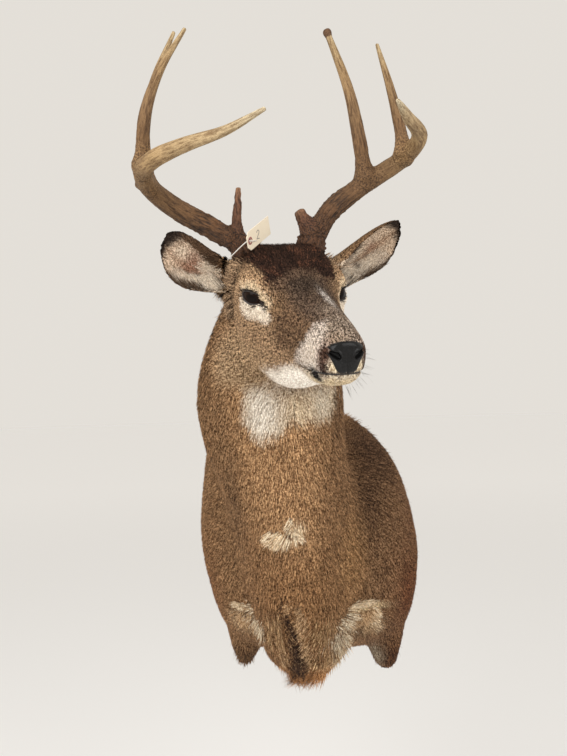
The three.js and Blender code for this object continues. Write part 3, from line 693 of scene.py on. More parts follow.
def ticked(start, where):
    """The markings, broken into dark and pale flecks as the banded hairs of the coat are."""
    colour = start.stored("tint")
    strength = start.stored("tint", 2)
    high_up = start.node("ShaderNodeSeparateXYZ", (), 2, Vector=where)
    sideways = start.node("ShaderNodeSeparateXYZ", (), 0, Vector=where) + 0.03
    in_ears = start.math("ABSOLUTE", sideways).ramp(0.085, 0.10) * high_up.ramp(0.36, 0.38)
    pale = start.math("MAXIMUM", strength.ramp(0.25, 0.6), in_ears * 0.7)
    deep = start.math("MAXIMUM", 1.0 - strength.ramp(0.05, 0.16), high_up.ramp(0.24, 0.28) * 0.9)
    drawn_out = start.node("ShaderNodeMapping", (), 0, Vector=where, Scale=(1.0, 1.0, 0.62))
    coarse = start.noise(drawn_out, 470.0, 2.0, 0.62)
    fine_one = start.noise(drawn_out, 1050.0, 1.0, 0.5)
    tick = (coarse * 0.6 + fine_one * 0.4).ramp(0.445, 0.555)
    low = pale.mix(deep.mix((0.42, 0.34, 0.27, 1), (0.13, 0.10, 0.08, 1)), (0.66, 0.60, 0.54, 1))
    high = pale.mix(deep.mix((1.78, 1.86, 1.94, 1), (2.30, 2.34, 2.40, 1)), (1.22, 1.22, 1.22, 1))
    return colour.times(tick.mix(low, high)), tick


hair, start, where, shader = finish("hair", Roughness=0.7, Specular_IOR_Level=0.12)
shade, tick = ticked(start, where)
feed(start, shader, Base_Color=shade)

hide_finish, start, where, shader = finish("hide", Roughness=0.8, Specular_IOR_Level=0.1)
shade, tick = ticked(start, where)
strands = start.noise(where, 1400.0, 2.0, 0.6)
feed(start, shader, Base_Color=shade, Normal=start.bump(strands + tick, 0.0006, 0.6))

tint(hide, markings(get_points(hide.data), get_normals(hide.data)) * 0.9)
hide.data.materials.clear()
hide.data.materials.append(hide_finish)
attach(hide, "root")
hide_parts(*FLESH)

# ---------------------------------------------------------------- the coat
# Winter hair, 5 mm long on the face and 20 mm on the body, lies flat and back from the nose to the wall.
# It is made as slivers: each is a closed lock of a few hairs, its root in the skin and its tip on the
# form's outline. A lock is dark at the root, pale below the tip and dark at the tip, so the coat is ticked.
dice = np.random.default_rng(11)
body_mesh = hide.data
skin_points, skin_normals = get_points(body_mesh), get_normals(body_mesh)
body_mesh.calc_loop_triangles()
flat = np.empty(len(body_mesh.loop_triangles) * 3, np.int32)
body_mesh.loop_triangles.foreach_get("vertices", flat)
skin_faces = flat.reshape(-1, 3).copy()
body_mesh.loop_triangles.foreach_get("loops", flat)
skin_loops = flat.reshape(-1, 3).copy()
flat = np.empty(len(body_mesh.loops) * 2, np.float32)
body_mesh.uv_layers["OFBake"].data.foreach_get("uv", flat)
skin_uv = flat.reshape(-1, 2)
skin_tree = BVHTree.FromPolygons(skin_points.tolist(), skin_faces.tolist())
corners = skin_points[skin_faces]
face_area = np.linalg.norm(np.cross(corners[:, 1] - corners[:, 0], corners[:, 2] - corners[:, 0]), axis=1) / 2
face_middle = corners.mean(1)
face_normal = unit(skin_normals[skin_faces].sum(1))


def flattened(way, normals):
    """The part of a way that runs along the skin."""
    return way - normals * (way * normals).sum(1)[:, None]


def lie(points, normals):
    """The way that the hair lies at each point, along the skin."""
    local = to_head(points)
    mm = points * 1000.0
    skull, ear = is_head(local), is_ear(local)
    way = np.tile((0.0, 0.12, -1.0), (len(points), 1))
    outward = np.sign(mm[:, 0] + 25)
    way[:, 0] += 0.10 * outward * ramp(np.abs(mm[:, 0] + 25), 20, 70)
    way[:, 1] += 0.55 * ramp(mm[:, 1], -300, -140)
    throat = near(mm, (-25, -345, 215), (75, 60, 60))
    way += throat[:, None] * (0.25 * np.stack([outward, 0 * outward, 0 * outward], 1))
    for armpit, wide in zip(ARMPITS, (36, 44)):
        here = np.array(armpit) * 1000 + (0, 0, 4)
        from_middle = (mm - here) * (1, 0, 1)
        pull = 1.6 * near(mm, here, (wide * 1.05, 70, 34))
        way = way * (1 - 0.75 * np.clip(pull, 0, 1))[:, None] + unit(from_middle) * pull[:, None]
    seam = seam_place(points)[0]
    seam_x = np.interp(-mm[:, 2], -BRISKET_SEAM[:, 2] * 1000, BRISKET_SEAM[:, 0] * 1000)
    toward = np.clip((seam_x - mm[:, 0]) / 6, -1, 1)[:, None] * (1, 0, 0)
    way += (1.5 * ramp(-seam, -0.07, -0.01) * ramp(-mm[:, 2], 46, 76))[:, None] * toward
    low = near(mm, (-12, -250, -205), (70, 80, 36))
    way += low[:, None] * np.stack([0.9 * np.sign(mm[:, 0] + 14), -0.2 + 0 * seam, -0.8 + 0 * seam], 1)
    way = flattened(way, normals)

    f, l, u = local.T
    head_way = np.tile((-1.0, 0.0, 0.0), (len(points), 1))
    head_way[:, 2] -= 0.55 * ramp(-u, 10, 80) * ramp(-f, -150, -20)
    head_way[:, 2] += 0.15 * ramp(u, 10, 40) * ramp(-f, -40, 20)
    head_way[:, 1] += 0.35 * np.sign(l) * ramp(np.abs(l), 4, 26) * ramp(-f, -160, -60) * ramp(u, 0, 20)
    reach, from_eye = eye_place(local)[:2]
    head_way += 0.8 * from_eye * np.exp(-((reach - 20) / 12) ** 2)[:, None]
    head_way[:, 2] -= 0.3 * ramp(-u, 60, 90) * ramp(f, 30, 120)
    head_way = flattened(head_way @ HEAD_AXES.T, normals)

    ear_way = np.zeros_like(way)
    for turned in (-1, 1):
        mine = np.sign(local[:, 1]) == turned
        ear_way[mine] = unit(np.array(EAR_TIP[turned]) - EAR_BASE[turned])
    way = unit(way) * (1 - skull[:, None]) + unit(head_way) * skull[:, None]
    return unit(way * (1 - ear[:, None]) + unit(flattened(ear_way, normals)) * ear[:, None])


def coat_length(points, local):
    """Length of the hair, in metres."""
    skull, ear = is_head(local), is_ear(local)
    face = 5.0 + 5.0 * ramp(-local[:, 0], -90, 10) + 6.0 * near(local, (-50, 0, 60), (50, 45, 34))
    face = np.where(local[:, 0] > 150, 5.0 - 2.0 * ramp(local[:, 0], 150, 190), face)
    face += 3.0 * near(local, (30, 0, -115), (70, 40, 26))
    reach = eye_place(local)[0]
    face = face * (0.45 + 0.55 * ramp(reach, 20, 32))
    body = 19.0 + 5.0 * near(points * 1000, (-12, -270, -180), (80, 80, 50))
    body -= 5.0 * ramp(-points[:, 2], 0.18, 0.21) * (np.abs(points[:, 0] + 0.01) > 0.08)
    length = body * (1 - skull) + face * skull
    return (length * (1 - ear) + 7.0 * ear) / 1000.0


def root_gap(local):
    """Distance between neighbouring roots, in metres."""
    skull, ear = is_head(local), is_ear(local)
    face = 0.97 + 0.30 * ramp(-local[:, 0], -80, 20)
    gap = 1.74 * (1 - skull) + face * skull
    return (gap * (1 - ear) + 1.34 * ear) / 1000.0


def scatter(density):
    """Roots spread evenly over the skin at so many to the square metre on each face."""
    total = np.cumsum(face_area * density)
    count = int(total[-1])
    at = np.searchsorted(total, (np.arange(count) + dice.random(count)) * total[-1] / count)
    at = np.minimum(at, len(face_area) - 1)
    a, b = dice.random((2, count))
    over = a + b > 1
    a, b = np.where(over, 1 - a, a), np.where(over, 1 - b, b)
    share = np.stack([1 - a - b, a, b], 1)[:, :, None]
    roots = (skin_points[skin_faces[at]] * share).sum(1)
    normals = unit((skin_normals[skin_faces[at]] * share).sum(1))
    places = (skin_uv[skin_loops[at]] * share).sum(1)
    return roots, normals, places


def onto_skin(points):
    """Nearest points of the skin with its outward way there."""
    where, ways = np.empty_like(points), np.empty_like(points)
    find = skin_tree.find_nearest
    for i, p in enumerate(points.tolist()):
        hit = find(p)
        where[i], ways[i] = hit[0], hit[1]
    return where, ways


def slivers(name, root, tip, outward, width, place, colours, slot="coat"):
    """Closed four-sided locks as one mesh. colours holds each lock's root, middle and tip."""
    count = len(root)
    along = unit(tip - root)
    wide = unit(np.cross(along, outward))
    roll = dice.normal(0, 0.35, count)[:, None]
    wide = wide * np.cos(roll) + np.cross(along, wide) * np.sin(roll)
    up = np.cross(wide, along)
    middle = root + (tip - root) * 0.5 - up * (0.28 * width)[:, None]
    half = wide * (width / 2)[:, None]
    points = np.stack([root, middle - half, middle + half, tip], 1).reshape(-1, 3)
    first = np.arange(count)[:, None, None] * 4
    faces = (first + np.array(((0, 3, 1), (0, 2, 3), (0, 1, 2), (3, 2, 1)))).reshape(-1, 3)
    mesh = bpy.data.meshes.new(name)
    mesh.vertices.add(len(points))
    mesh.loops.add(len(faces) * 3)
    mesh.polygons.add(len(faces))
    mesh.vertices.foreach_set("co", points.astype(np.float32).ravel())
    mesh.loops.foreach_set("vertex_index", faces.astype(np.int32).ravel())
    mesh.polygons.foreach_set("loop_start", np.arange(0, len(faces) * 3, 3, dtype=np.int32))
    mesh.polygons.foreach_set("use_smooth", np.ones(len(faces), bool))
    mesh.update()
    spot = np.array(((0, -0.0015), (-0.0015, 0), (0.0015, 0), (0, 0.0015)))
    uv = (place[:, None, :] + spot).reshape(-1, 2)
    layer = mesh.uv_layers.new(name="OFBake")
    layer.data.foreach_set("uv", uv[faces.ravel()].astype(np.float32).ravel())
    obj = bpy.data.objects.new(name, mesh)
    bpy.context.collection.objects.link(obj)
    tint(obj, colours[:, (0, 1, 1, 2)].reshape(-1, 3))
    ridge = unit(up + 0.15 * along)
    edge_ways = np.stack([ridge, unit(up - 1.1 * wide), unit(up + 1.1 * wide), ridge], 1).reshape(-1, 3)
    mesh.normals_split_custom_set_from_vertices(edge_ways.tolist())
    mesh.materials.append(hair)
    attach(obj, "root")
    return obj


LOCK_WIDTH = 0.0021
IN_FRONT_OF_WALL = -0.0012  # no hair reaches further back
middle_local = to_head(face_middle)
reach, *_, inside = eye_place(middle_local)
bare = (inside > -1.2) & (reach < 30)
bare |= (near(middle_local, (197, 0, -27), (10, 22, 17)) > 0.37) & (middle_local[:, 0] > 184)
bare |= (np.abs(middle_local[:, 2] - mouth_height(middle_local[:, 0])) < 1.6) & (middle_local[:, 0] > 116)
bare |= (face_middle[:, 1] > -0.0035) & (face_normal[:, 1] > 0.5)
density = np.where(bare, 0.0, 1.0 / root_gap(middle_local) ** 2)
root, outward, place = scatter(density)
local = to_head(root)
skull, ear = is_head(local), is_ear(local)
way = unit(lie(root, outward) + 0.10 * dice.normal(size=root.shape) * (1 - 0.3 * skull[:, None]))
way = unit(flattened(way, outward))
length = coat_length(root, local) * dice.uniform(0.75, 1.2, len(root))
depth = coat_depth(root, local)
nearest, nearest_way = onto_skin(root + way * length[:, None] + outward * (0.5 * depth)[:, None])
tip = nearest + nearest_way * (depth * dice.uniform(0.62, 1.12, len(root)))[:, None]
tip[:, 1] = np.minimum(tip[:, 1], IN_FRONT_OF_WALL)
root = root - outward * 0.0003
strayed = nearest * 0.5 + root * 0.5 + dice.normal(0, 0.0016, root.shape)
base = markings(strayed, outward)
tick = dice.random(len(root))[:, None]
on_face = (skull > 0.5)[:, None]
tick = np.where(on_face, 0.5 * tick + 0.25 + 0.5 * blur(root, 0.0008, 9.0)[:, None], tick)
vary = dice.uniform(0.88, 1.14, (len(root), 1))
light = ramp(base.mean(1), 0.25, 0.5)[:, None]
sombre = ramp(-base.mean(1), -0.15, -0.05)[:, None]
pale_tick = np.array((1.42, 1.50, 1.58)) - (0.22, 0.30, 0.38) * light + 0.75 * sombre
pale = base * vary * np.where(tick > 0.5, pale_tick, 0.92 - 0.22 * sombre)
dark = base * vary * np.where(tick < 0.42, (0.38, 0.33, 0.30) + 0.4 * light, 1.05)
colours = np.stack([base * 0.8, pale, dark], 1)
fineness = np.where(ear > 0.5, 0.55, np.where(skull > 0.5, 0.60, 1.0))
width = LOCK_WIDTH * dice.uniform(0.7, 1.25, len(root)) * fineness

REGIONS = (("coat_ears", ear > 0.5), ("coat_face", skull > 0.5),
           ("coat_neck", root[:, 2] > 0.05), ("coat_shoulder_right", root[:, 0] < -0.10),
           ("coat_shoulder_left", root[:, 0] > 0.05), ("coat_chest", np.ones(len(root), bool)))
MOST_LOCKS = 48000  # in one piece
taken = np.zeros(len(root), bool)
for region, mask in REGIONS:
    chosen = np.nonzero(mask & ~taken)[0]
    taken |= mask
    chosen = chosen[np.argsort(-root[chosen, 2], kind="stable")]
    parts = -(-len(chosen) // MOST_LOCKS)
    for part, some in enumerate(np.array_split(chosen, parts)):
        name = region if parts == 1 else f"{region}_{part + 1}"
        slivers(name, root[some], tip[some], outward[some], width[some], place[some], colours[some])


def chosen_locks(weight, number):
    """Roots picked over the skin where the weight of each face allows."""
    chance = face_area * weight
    return scatter(weight * number / chance.sum())


def from_tones(pick, tones, first=0.55, second=0.85):
    """One of three colours for each lock, by where its pick falls."""
    common, fewer, rare = (linear(tone) for tone in tones)
    return np.where(pick < first, common, np.where(pick < second, fewer, rare))


# Long soft hairs fill the ears from the root outwards, and hide the bare skin inside.
FLUFF_LOCKS, LOOSE_HAIRS, WHISKERS = 5200, 8600, 70
middle_far, middle_across, middle_facing = ear_place(face_middle, middle_local)
in_cup = is_ear(middle_local) * ramp((face_normal * middle_facing).sum(1), 0.1, 0.4)
near_root = in_cup * ramp(-middle_far, -0.5, -0.05) * ramp(-np.abs(middle_across), -0.95, -0.6)
near_edge = in_cup * ramp(-middle_across, 0.35, 0.7) * ramp(-middle_far, -0.8, -0.55)
root, outward, place = chosen_locks(near_root + 0.9 * near_edge, FLUFF_LOCKS)
local = to_head(root)
far, across, facing_in = ear_place(root, local)
ear_lines = [np.array(EAR_TIP[turned]) - EAR_BASE[turned] for turned in (1, -1)]
along = unit(np.where(local[:, 1:2] > 0, *ear_lines))
wide = unit(np.cross(along, facing_in))
wide = wide * np.sign(wide[:, 2:3])
toward_middle = -across[:, None] * wide * ramp(np.abs(across), 0.3, 0.8)[:, None]
way = unit(along * (1 - 0.3 * np.abs(across[:, None])) + 0.35 * toward_middle + 0.2 * outward
           + 0.08 * dice.normal(size=root.shape))
length = dice.uniform(0.012, 0.024, len(root)) * (1 - 0.45 * ramp(far, 0.5, 0.8))
length = length * (1 + 0.35 * ramp(-far, -0.4, -0.1))
tip = root + way * length[:, None]
pick = dice.random(len(root))[:, None]
pick += 0.30 * blur(root, 0.0034, 4.0)[:, None]
pick += 0.45 * ear_fans(far, across)[:, None]
below = markings(root, outward)
fluff = from_tones(pick, ((226, 214, 198), (190, 166, 140), (112, 88, 70)), 0.62, 0.95)
fluff = fluff * dice.uniform(0.85, 1.1, (len(root), 1)) * 0.52 * ramp(below.mean(1), 0.05, 0.40)[:, None]
fluff = fluff + below * 0.6
width = 0.00075 * dice.uniform(0.7, 1.3, len(root))
slivers("ear_fluff", root - outward * 0.0004, tip, outward, width, place,
        np.stack([fluff * 0.7, fluff, fluff * 1.05], 1), "ear_hair")

# Tufts that stand out of the flat coat: the swirl on the chest, the crests where the hair of the chest
# and the forelegs meets, and the hair that runs into the brisket's seam.
# Each row: middle and spread across and up (mm), way, how far it stands out, lengths (mm), number, colours.
CREAM = ((238, 220, 190), (206, 178, 142), (130, 98, 70))
TAN = ((180, 148, 112), (150, 118, 84), (92, 68, 48))
BROWN = ((144, 118, 91), (120, 96, 73), (84, 64, 48))
GREY = ((204, 188, 162), (162, 136, 106), (100, 76, 56))
WARM = ((172, 140, 102), (134, 101, 68), (88, 61, 40))
SEAM_DARK = ((58, 41, 30), (44, 31, 23), (92, 68, 48))
SHADE = ((104, 78, 56), (84, 60, 42), (60, 42, 30))
TUFTS = {
    "chest_tuft": (
        ((-45, 33), (9, 4.5), (-0.70, 0, -0.8), 0.62, (16, 27), 700, CREAM),
        ((-27, 47), (6, 8), (-0.35, 0, -0.95), 0.50, (11, 18), 420, CREAM),
        ((-28, 33), (4, 4), (0.55, 0, -0.9), 0.55, (12, 18), 150, CREAM),
        # Dark locks in the swirl's middle stand for the shadow there: painted shade.
        ((-33, 39), (4, 4), (-0.2, 0, -1.0), 0.60, (11, 15), 70, SHADE)),
    "seam_crest": (
        ((-24, -70), (7, 6), (-1.0, 0, -0.35), 0.40, (12, 18), 260, TAN),
        ((-64, -104), (12, 18), (0.8, 0, -0.75), 0.34, (16, 24), 460, WARM),
        ((14, -104), (18, 15), (-0.8, 0, -0.7), 0.34, (16, 24), 460, WARM),
        ((30, -122), (12, 10), (-0.4, 0, -0.9), 0.42, (16, 26), 150, GREY),
        ((20, -150), (18, 14), (-0.3, 0, -0.9), 0.42, (16, 26), 300, WARM),
        ((-15, -92), (7, 13), (-1.0, 0, -0.55), 0.34, (13, 19), 380, TAN),
        ((-7, -135), (8, 20), (-0.9, 0, -0.7), 0.34, (14, 20), 380, TAN),
        ((-64, -98), (8, 18), (0.9, 0, -0.7), 0.30, (13, 19), 340, TAN),
        ((-54, -145), (8, 20), (0.8, 0, -0.8), 0.34, (14, 20), 320, TAN),
        ((-45, -69), (2.4, 9), (0.25, 0, -1.0), 0.34, (9, 13), 420, SEAM_DARK),
        ((-39, -92), (2.2, 10), (0.25, 0, -1.0), 0.30, (11, 16), 300, SEAM_DARK),
        ((-32, -122), (3.2, 14), (0.15, 0, -1.0), 0.30, (12, 18), 420, SEAM_DARK),
        ((-29, -156), (5.0, 16), (0.1, 0, -1.0), 0.30, (14, 20), 560, SEAM_DARK)),
    "armpit_left": (
        ((62, -98), (15, 2), (1.0, 0, 0.1), 0.75, (14, 20), 420, CREAM),
        ((66, -106), (16, 5), (0.35, 0, -1.0), 0.50, (20, 28), 620, TAN),
        ((84, -112), (6, 9), (0.8, 0, -0.7), 0.60, (14, 20), 260, CREAM),
        ((38, -108), (10, 6), (0.9, 0, -0.4), 0.50, (16, 26), 240, GREY),
        ((34, -134), (11, 18), (0.75, 0, -0.9), 0.42, (18, 28), 300, GREY)),
    "armpit_right": (
        ((-104, -100), (12, 3), (-1.0, 0, 0.0), 0.70, (12, 18), 300, CREAM),
        ((-100, -114), (13, 9), (-0.3, 0, -1.0), 0.50, (18, 26), 480, TAN),
        ((-84, -112), (9, 14), (-0.7, 0, -0.7), 0.45, (16, 26), 260, GREY)),
}


def roots_seen_ahead(aims):
    """Roots where the skin lies straight behind the given places across and up."""
    roots, normals, places = [], [], []
    for x, z in aims.tolist():
        at, facing, index, _ = skin_tree.ray_cast(Vector((x, -1.0, z)), Vector((0, 1, 0)))
        a, b, c = skin_points[skin_faces[index]]
        twice = np.linalg.norm(np.cross(b - a, c - a))
        share = [np.linalg.norm(np.cross(q - at, r - at)) / twice for q, r in ((b, c), (c, a), (a, b))]
        roots.append(at)
        normals.append(facing)
        places.append(np.array(share) @ skin_uv[skin_loops[index]])
    return np.array(roots), np.array(normals), np.array(places)


for name, rows in TUFTS.items():
    parts = []
    for middle, spread, way, stand, lengths, number, tones in rows:
        aims = np.clip(dice.normal(0, 0.6, (number, 2)), -1.4, 1.4)
        root, outward, place = roots_seen_ahead((np.array(middle) + aims * spread) / 1000)
        fan = aims[:, (0, 0, 1)] * (0.30, 0, 0.12)
        lean = unit(np.array(way) + fan + 0.10 * dice.normal(size=root.shape))
        lean = unit(flattened(lean, outward) + outward * (stand * dice.uniform(0.5, 1.2, len(root)))[:, None])
        tip = root + lean * (dice.uniform(*lengths, len(root)) / 1000)[:, None]
        pick = dice.random(len(root))[:, None] + 0.2 * blur(root, 0.0022, 3.0)[:, None]
        shade = from_tones(pick, tones) * dice.uniform(0.88, 1.1, (len(root), 1))
        parts.append((root, tip, outward, 0.0013 * dice.uniform(0.6, 1.3, len(root)), place,
                      np.stack([shade * 0.5, shade * 0.95, shade * 1.1], 1)))
    slivers(name, *(np.concatenate(column) for column in zip(*parts)))

# Thick fur fills the corner behind the cheek, where the ears spring from the skull.
parts = []
for middle, spread, way, stand, lengths, number in (
        ((-54, 64, 18), (13, 18, 13), (-0.6, 0.75, 0.2), 0.30, (13, 20), 1300),
        ((-80, 68, -10), (18, 20, 20), (-0.75, 0.25, -0.65), 0.35, (18, 28), 1500),
        ((-90, 76, -22), (13, 14, 16), (-0.45, 0.35, -0.8), 0.45, (18, 26), 1800)):
    weight = near(np.abs(middle_local * (0, 1, 0)) + middle_local * (1, 0, 1), middle, spread)
    root, outward, place = chosen_locks(weight * (weight > 0.02) * (is_ear(middle_local) < 0.5), number)
    turned = np.sign(to_head(root)[:, 1:2])
    lean = np.array(way) * np.concatenate([turned ** 2, turned, turned ** 2], 1)
    lean = unit(lean @ HEAD_AXES.T + 0.10 * dice.normal(size=root.shape))
    lean = unit(lean + outward * (stand * dice.uniform(0.4, 1.2, len(root)))[:, None])
    tip = root + lean * (dice.uniform(*lengths, len(root)) / 1000)[:, None]
    pick = dice.random(len(root))[:, None]
    shade = from_tones(pick, BROWN) * dice.uniform(0.88, 1.1, (len(root), 1))
    parts.append((root, tip, outward, 0.0011 * dice.uniform(0.7, 1.3, len(root)), place,
                  np.stack([shade * 0.6, shade * 0.95, shade * 1.15], 1)))
slivers("ear_root", *(np.concatenate(column) for column in zip(*parts)))

# The brisket, the stubs and the back edge end in loose hairs that show against the wall.
edge_low = near(face_middle, (-0.012, -0.24, -0.207), (0.062, 0.09, 0.018))
edge_stub = near(face_middle, (-0.116, -0.08, -0.222), (0.03, 0.06, 0.012))
by_wall = face_middle[:, 1]
edge_back = ramp(by_wall, -0.05, -0.02) * ramp(-face_normal[:, 1], -0.4, 0.1) * (by_wall < -0.003)
root, outward, place = chosen_locks(1.2 * edge_low + 1.0 * edge_stub + 0.34 * edge_back, LOOSE_HAIRS)
way = lie(root, outward)
loose = near(root, (-0.012, -0.24, -0.207), (0.07, 0.09, 0.03))
way = unit(way + (0.42 + 0.2 * loose[:, None]) * outward + 0.16 * dice.normal(size=root.shape))
length = dice.uniform(0.014, 0.024, len(root)) + 0.024 * loose * dice.random(len(root))
tip = root + way * length[:, None]
tip[:, 1] = np.minimum(tip[:, 1], IN_FRONT_OF_WALL)
base = markings(root, outward) * dice.uniform(0.8, 1.25, (len(root), 1))
slivers("loose_hair", root, tip, outward, 0.0011 * dice.uniform(0.6, 1.2, len(root)), place,
        np.stack([base * 0.7, base * 1.1, base * 1.15], 1))

# A few stiff whiskers on the lips and chin.
weight = near(middle_local, (172, 0, -50), (22, 40, 22)) * (middle_local[:, 0] > 140) * ~bare
root, outward, place = chosen_locks(weight, WHISKERS)
way = unit(0.9 * outward + 0.35 * (HEAD_AXES[:, 0] + 0 * outward) - 0.35 * HEAD_AXES[:, 2]
           + 0.2 * dice.normal(size=root.shape))
tip = root + way * dice.uniform(0.012, 0.026, len(root))[:, None]
bristle = np.tile(linear((190, 180, 165)), (len(root), 1))
slivers("whiskers", root - outward * 0.001, tip, outward, np.full(len(root), 0.0003), place,
        np.stack([bristle * 0.4, bristle, bristle], 1))

# ---------------------------------------------------------------- the eyes
# Glass eyes, near black, with a level oval pupil. Each sits in its socket behind a dark, moist rim,
# and the upper lid carries a row of stiff lashes that slope outwards.
glass, start, where, shader = finish("eye_glass", Roughness=0.05, Specular_IOR_Level=0.06)
colour = start.stored("tint")
veins = start.noise(where, 900.0, 2.0)
feed(start, shader, Base_Color=veins.mix(colour, (0.012, 0.008, 0.006, 1)))

lid_skin, start, where, shader = finish("lid_skin", Roughness=0.42, Specular_IOR_Level=0.45)
wrinkle = start.noise(where, 1500.0, 2.0)
feed(start, shader, Base_Color=wrinkle.mix((0.010, 0.008, 0.007, 1), (0.035, 0.026, 0.022, 1)),
     Normal=start.bump(wrinkle, 0.0004, 0.5))


def add_mesh(name, shape, material, replaced=()):
    """A finished piece made from a bmesh, with the nodes that it replaces."""
    mesh = bpy.data.meshes.new(name)
    shape.to_mesh(mesh)
    shape.free()
    obj = bpy.data.objects.new(name, mesh)
    bpy.context.collection.objects.link(obj)
    mesh.shade_smooth()
    mesh.materials.append(material)
    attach(obj, "root")
    if replaced:
        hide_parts(*replaced)
    return obj


def strand(name, runs, material, closed=False, sides=3):
    """Round strands through points, each with its radius, as one closed mesh."""
    curve = bpy.data.curves.new(name, "CURVE")
    curve.dimensions = "3D"
    curve.bevel_depth = 1.0
    curve.bevel_resolution = sides
    curve.use_fill_caps = True
    for points, radii in runs:
        line = curve.splines.new("POLY")
        line.points.add(len(points) - 1)
        line.points.foreach_set("co", np.column_stack([points, np.ones(len(points))]).ravel())
        line.points.foreach_set("radius", np.broadcast_to(radii, len(points)).astype(float))
        line.use_cyclic_u = closed
    source = bpy.data.objects.new(name + "_line", curve)
    bpy.context.collection.objects.link(source)
    bpy.context.view_layer.update()
    mesh = bpy.data.meshes.new_from_object(source.evaluated_get(bpy.context.evaluated_depsgraph_get()))
    bpy.data.objects.remove(source)
    shape = bmesh.new()
    shape.from_mesh(mesh)
    bpy.data.meshes.remove(mesh)
    bmesh.ops.remove_doubles(shape, verts=shape.verts, dist=1e-6)
    bmesh.ops.recalc_face_normals(shape, faces=shape.faces)
    return add_mesh(name, shape, material)


RIM_STEPS, LASHES = 25, 34  # from corner to corner, and on each upper lid
for turned, side_name in ((-1, "right"), (1, "left")):
    centre, out, along, up = (v * np.array((1, turned, 1)) for v in (EYE_AT, *eye_axes()))
    shape = bmesh.new()
    bmesh.ops.create_uvsphere(shape, u_segments=64, v_segments=40, radius=EYE_RADIUS / 1000)
    turn = Matrix([list(HEAD_AXES @ v) for v in (along, up, out)]).transposed().to_4x4()
    bmesh.ops.transform(shape, matrix=Matrix.Translation(from_head(centre)) @ turn, verts=shape.verts)
    bmesh.ops.recalc_face_normals(shape, faces=shape.faces)
    ball = add_mesh(f"eyeball_{side_name}", shape, glass, [f"eye_{side_name}"])
    q = to_head(get_points(ball.data)) - centre
    ex, ey = q @ along, q @ up
    pupil = np.sqrt((ex / 7.5) ** 2 + (ey / 5.0) ** 2)
    iris = np.sqrt((ex / 14.0) ** 2 + (ey / 12.5) ** 2)
    tones = paint(np.tile(linear((40, 24, 16)), (len(q), 1)), (6, 5, 5), ramp(-pupil, -1.15, -0.9))
    tones = paint(tones, (16, 11, 9), ramp(iris, 0.85, 1.05))
    tint(ball, tones)

    x_top = np.linspace(-1, 1, RIM_STEPS) * EYE_SLIT[0]
    x_below = np.linspace(1, -1, RIM_STEPS)[1:-1] * EYE_SLIT[0]
    x_run = np.concatenate([x_top, x_below])
    y_run = np.concatenate([slit_edge(x_top, True), slit_edge(x_below, False)])
    reach_run = EYE_RADIUS + 0.5
    deep = np.sqrt(np.clip(reach_run ** 2 - x_run ** 2 - y_run ** 2, 1, None))
    rim = centre + x_run[:, None] * along + y_run[:, None] * up + deep[:, None] * out
    strand(f"lid_rim_{side_name}", [(from_head(rim), 0.0012)], lid_skin, closed=True)

    # The tear duct runs forward and down from the front corner.
    duct_x = np.linspace(EYE_SLIT[0] - 1.5, EYE_SLIT[0] + TEAR_DUCT, 9)
    duct = []
    for dx in duct_x:
        from_ball = centre + dx * along - 0.04 * (dx - EYE_SLIT[0]) ** 2 * up
        hit = skin_tree.ray_cast(Vector(from_head(from_ball + 34 * out)), Vector(-(HEAD_AXES @ out)))
        duct.append(np.array(hit[0]) - 0.0002 * (HEAD_AXES @ out))
    thick = np.interp(duct_x, (duct_x[0], duct_x[3], duct_x[-1]), (0.0013, 0.0012, 0.0003))
    strand(f"tear_duct_{side_name}", [(duct, thick)], lid_skin)

    lash_x = np.linspace(-13.5, 12.5, LASHES) + dice.normal(0, 0.3, LASHES)
    lashes = []
    for dx in lash_x:
        dy = float(slit_edge(np.array(dx), True)) + 0.6
        deep = math.sqrt((EYE_RADIUS + 1.6) ** 2 - dx * dx - dy * dy)
        foot = centre + dx * along + dy * up + deep * out
        long = (9.5 - 0.22 * abs(dx + 2)) * dice.uniform(0.75, 1.1)
        sweep = unit(0.75 * out + 0.16 * up + (0.05 * dx - 0.1) * along + 0.07 * dice.normal(size=3))
        steps = np.linspace(0, 1, 5)[:, None]
        lash = foot + long * (steps * sweep + 0.30 * steps ** 2 * up)
        lashes.append((from_head(lash), np.linspace(0.00034, 0.00009, 5)))
    strand(f"lashes_{side_name}", lashes, lid_skin, sides=1)

# ---------------------------------------------------------------- the nose and lips
# The nose is bare, black, pebbled skin, painted and glazed so that it looks wet. The nostrils are
# comma shaped and open to the side; the closed lips show as a thin dark seam.
# Across and up on the left half, in the head's millimetres: the pad's edge, and down the nostril.
NOSE_EDGE = ((0, -8.0), (8, -8.6), (14, -10), (18.6, -12.4), (21.8, -15.8), (22.4, -20), (20.6, -25.0),
             (17.8, -29.5), (15.5, -33.5), (13.5, -39), (10.5, -44), (0, -46.5))
NOSE_MIDDLE = np.array((0, -25.0))
NOSTRIL = np.array(((22.6, -15.5, 1.0), (20.2, -19.5, 1.7), (16.5, -22.0, 2.4),
                    (12.8, -23.6, 3.1), (10.4, -25.6, 2.3)))  # across, up, and half its width
nose_skin, start, where, shader = finish("nose_skin", Roughness=0.34, Coat_Weight=0.22, Coat_Roughness=0.12,
                                         Specular_IOR_Level=0.14)
pebble = start.node("ShaderNodeTexVoronoi", {"feature": "DISTANCE_TO_EDGE"}, 0, Vector=where, Scale=620.0)
broad = start.noise(where, 260.0, 3.0)
glaze = (pebble.ramp(0.02, 0.25) * broad).mix((0.002, 0.002, 0.002, 1), (0.012, 0.010, 0.009, 1))
feed(start, shader, Base_Color=glaze, Roughness=0.25 + broad * 0.3,
     Normal=start.bump(pebble.ramp(0.0, 0.35), 0.0007, 0.8))

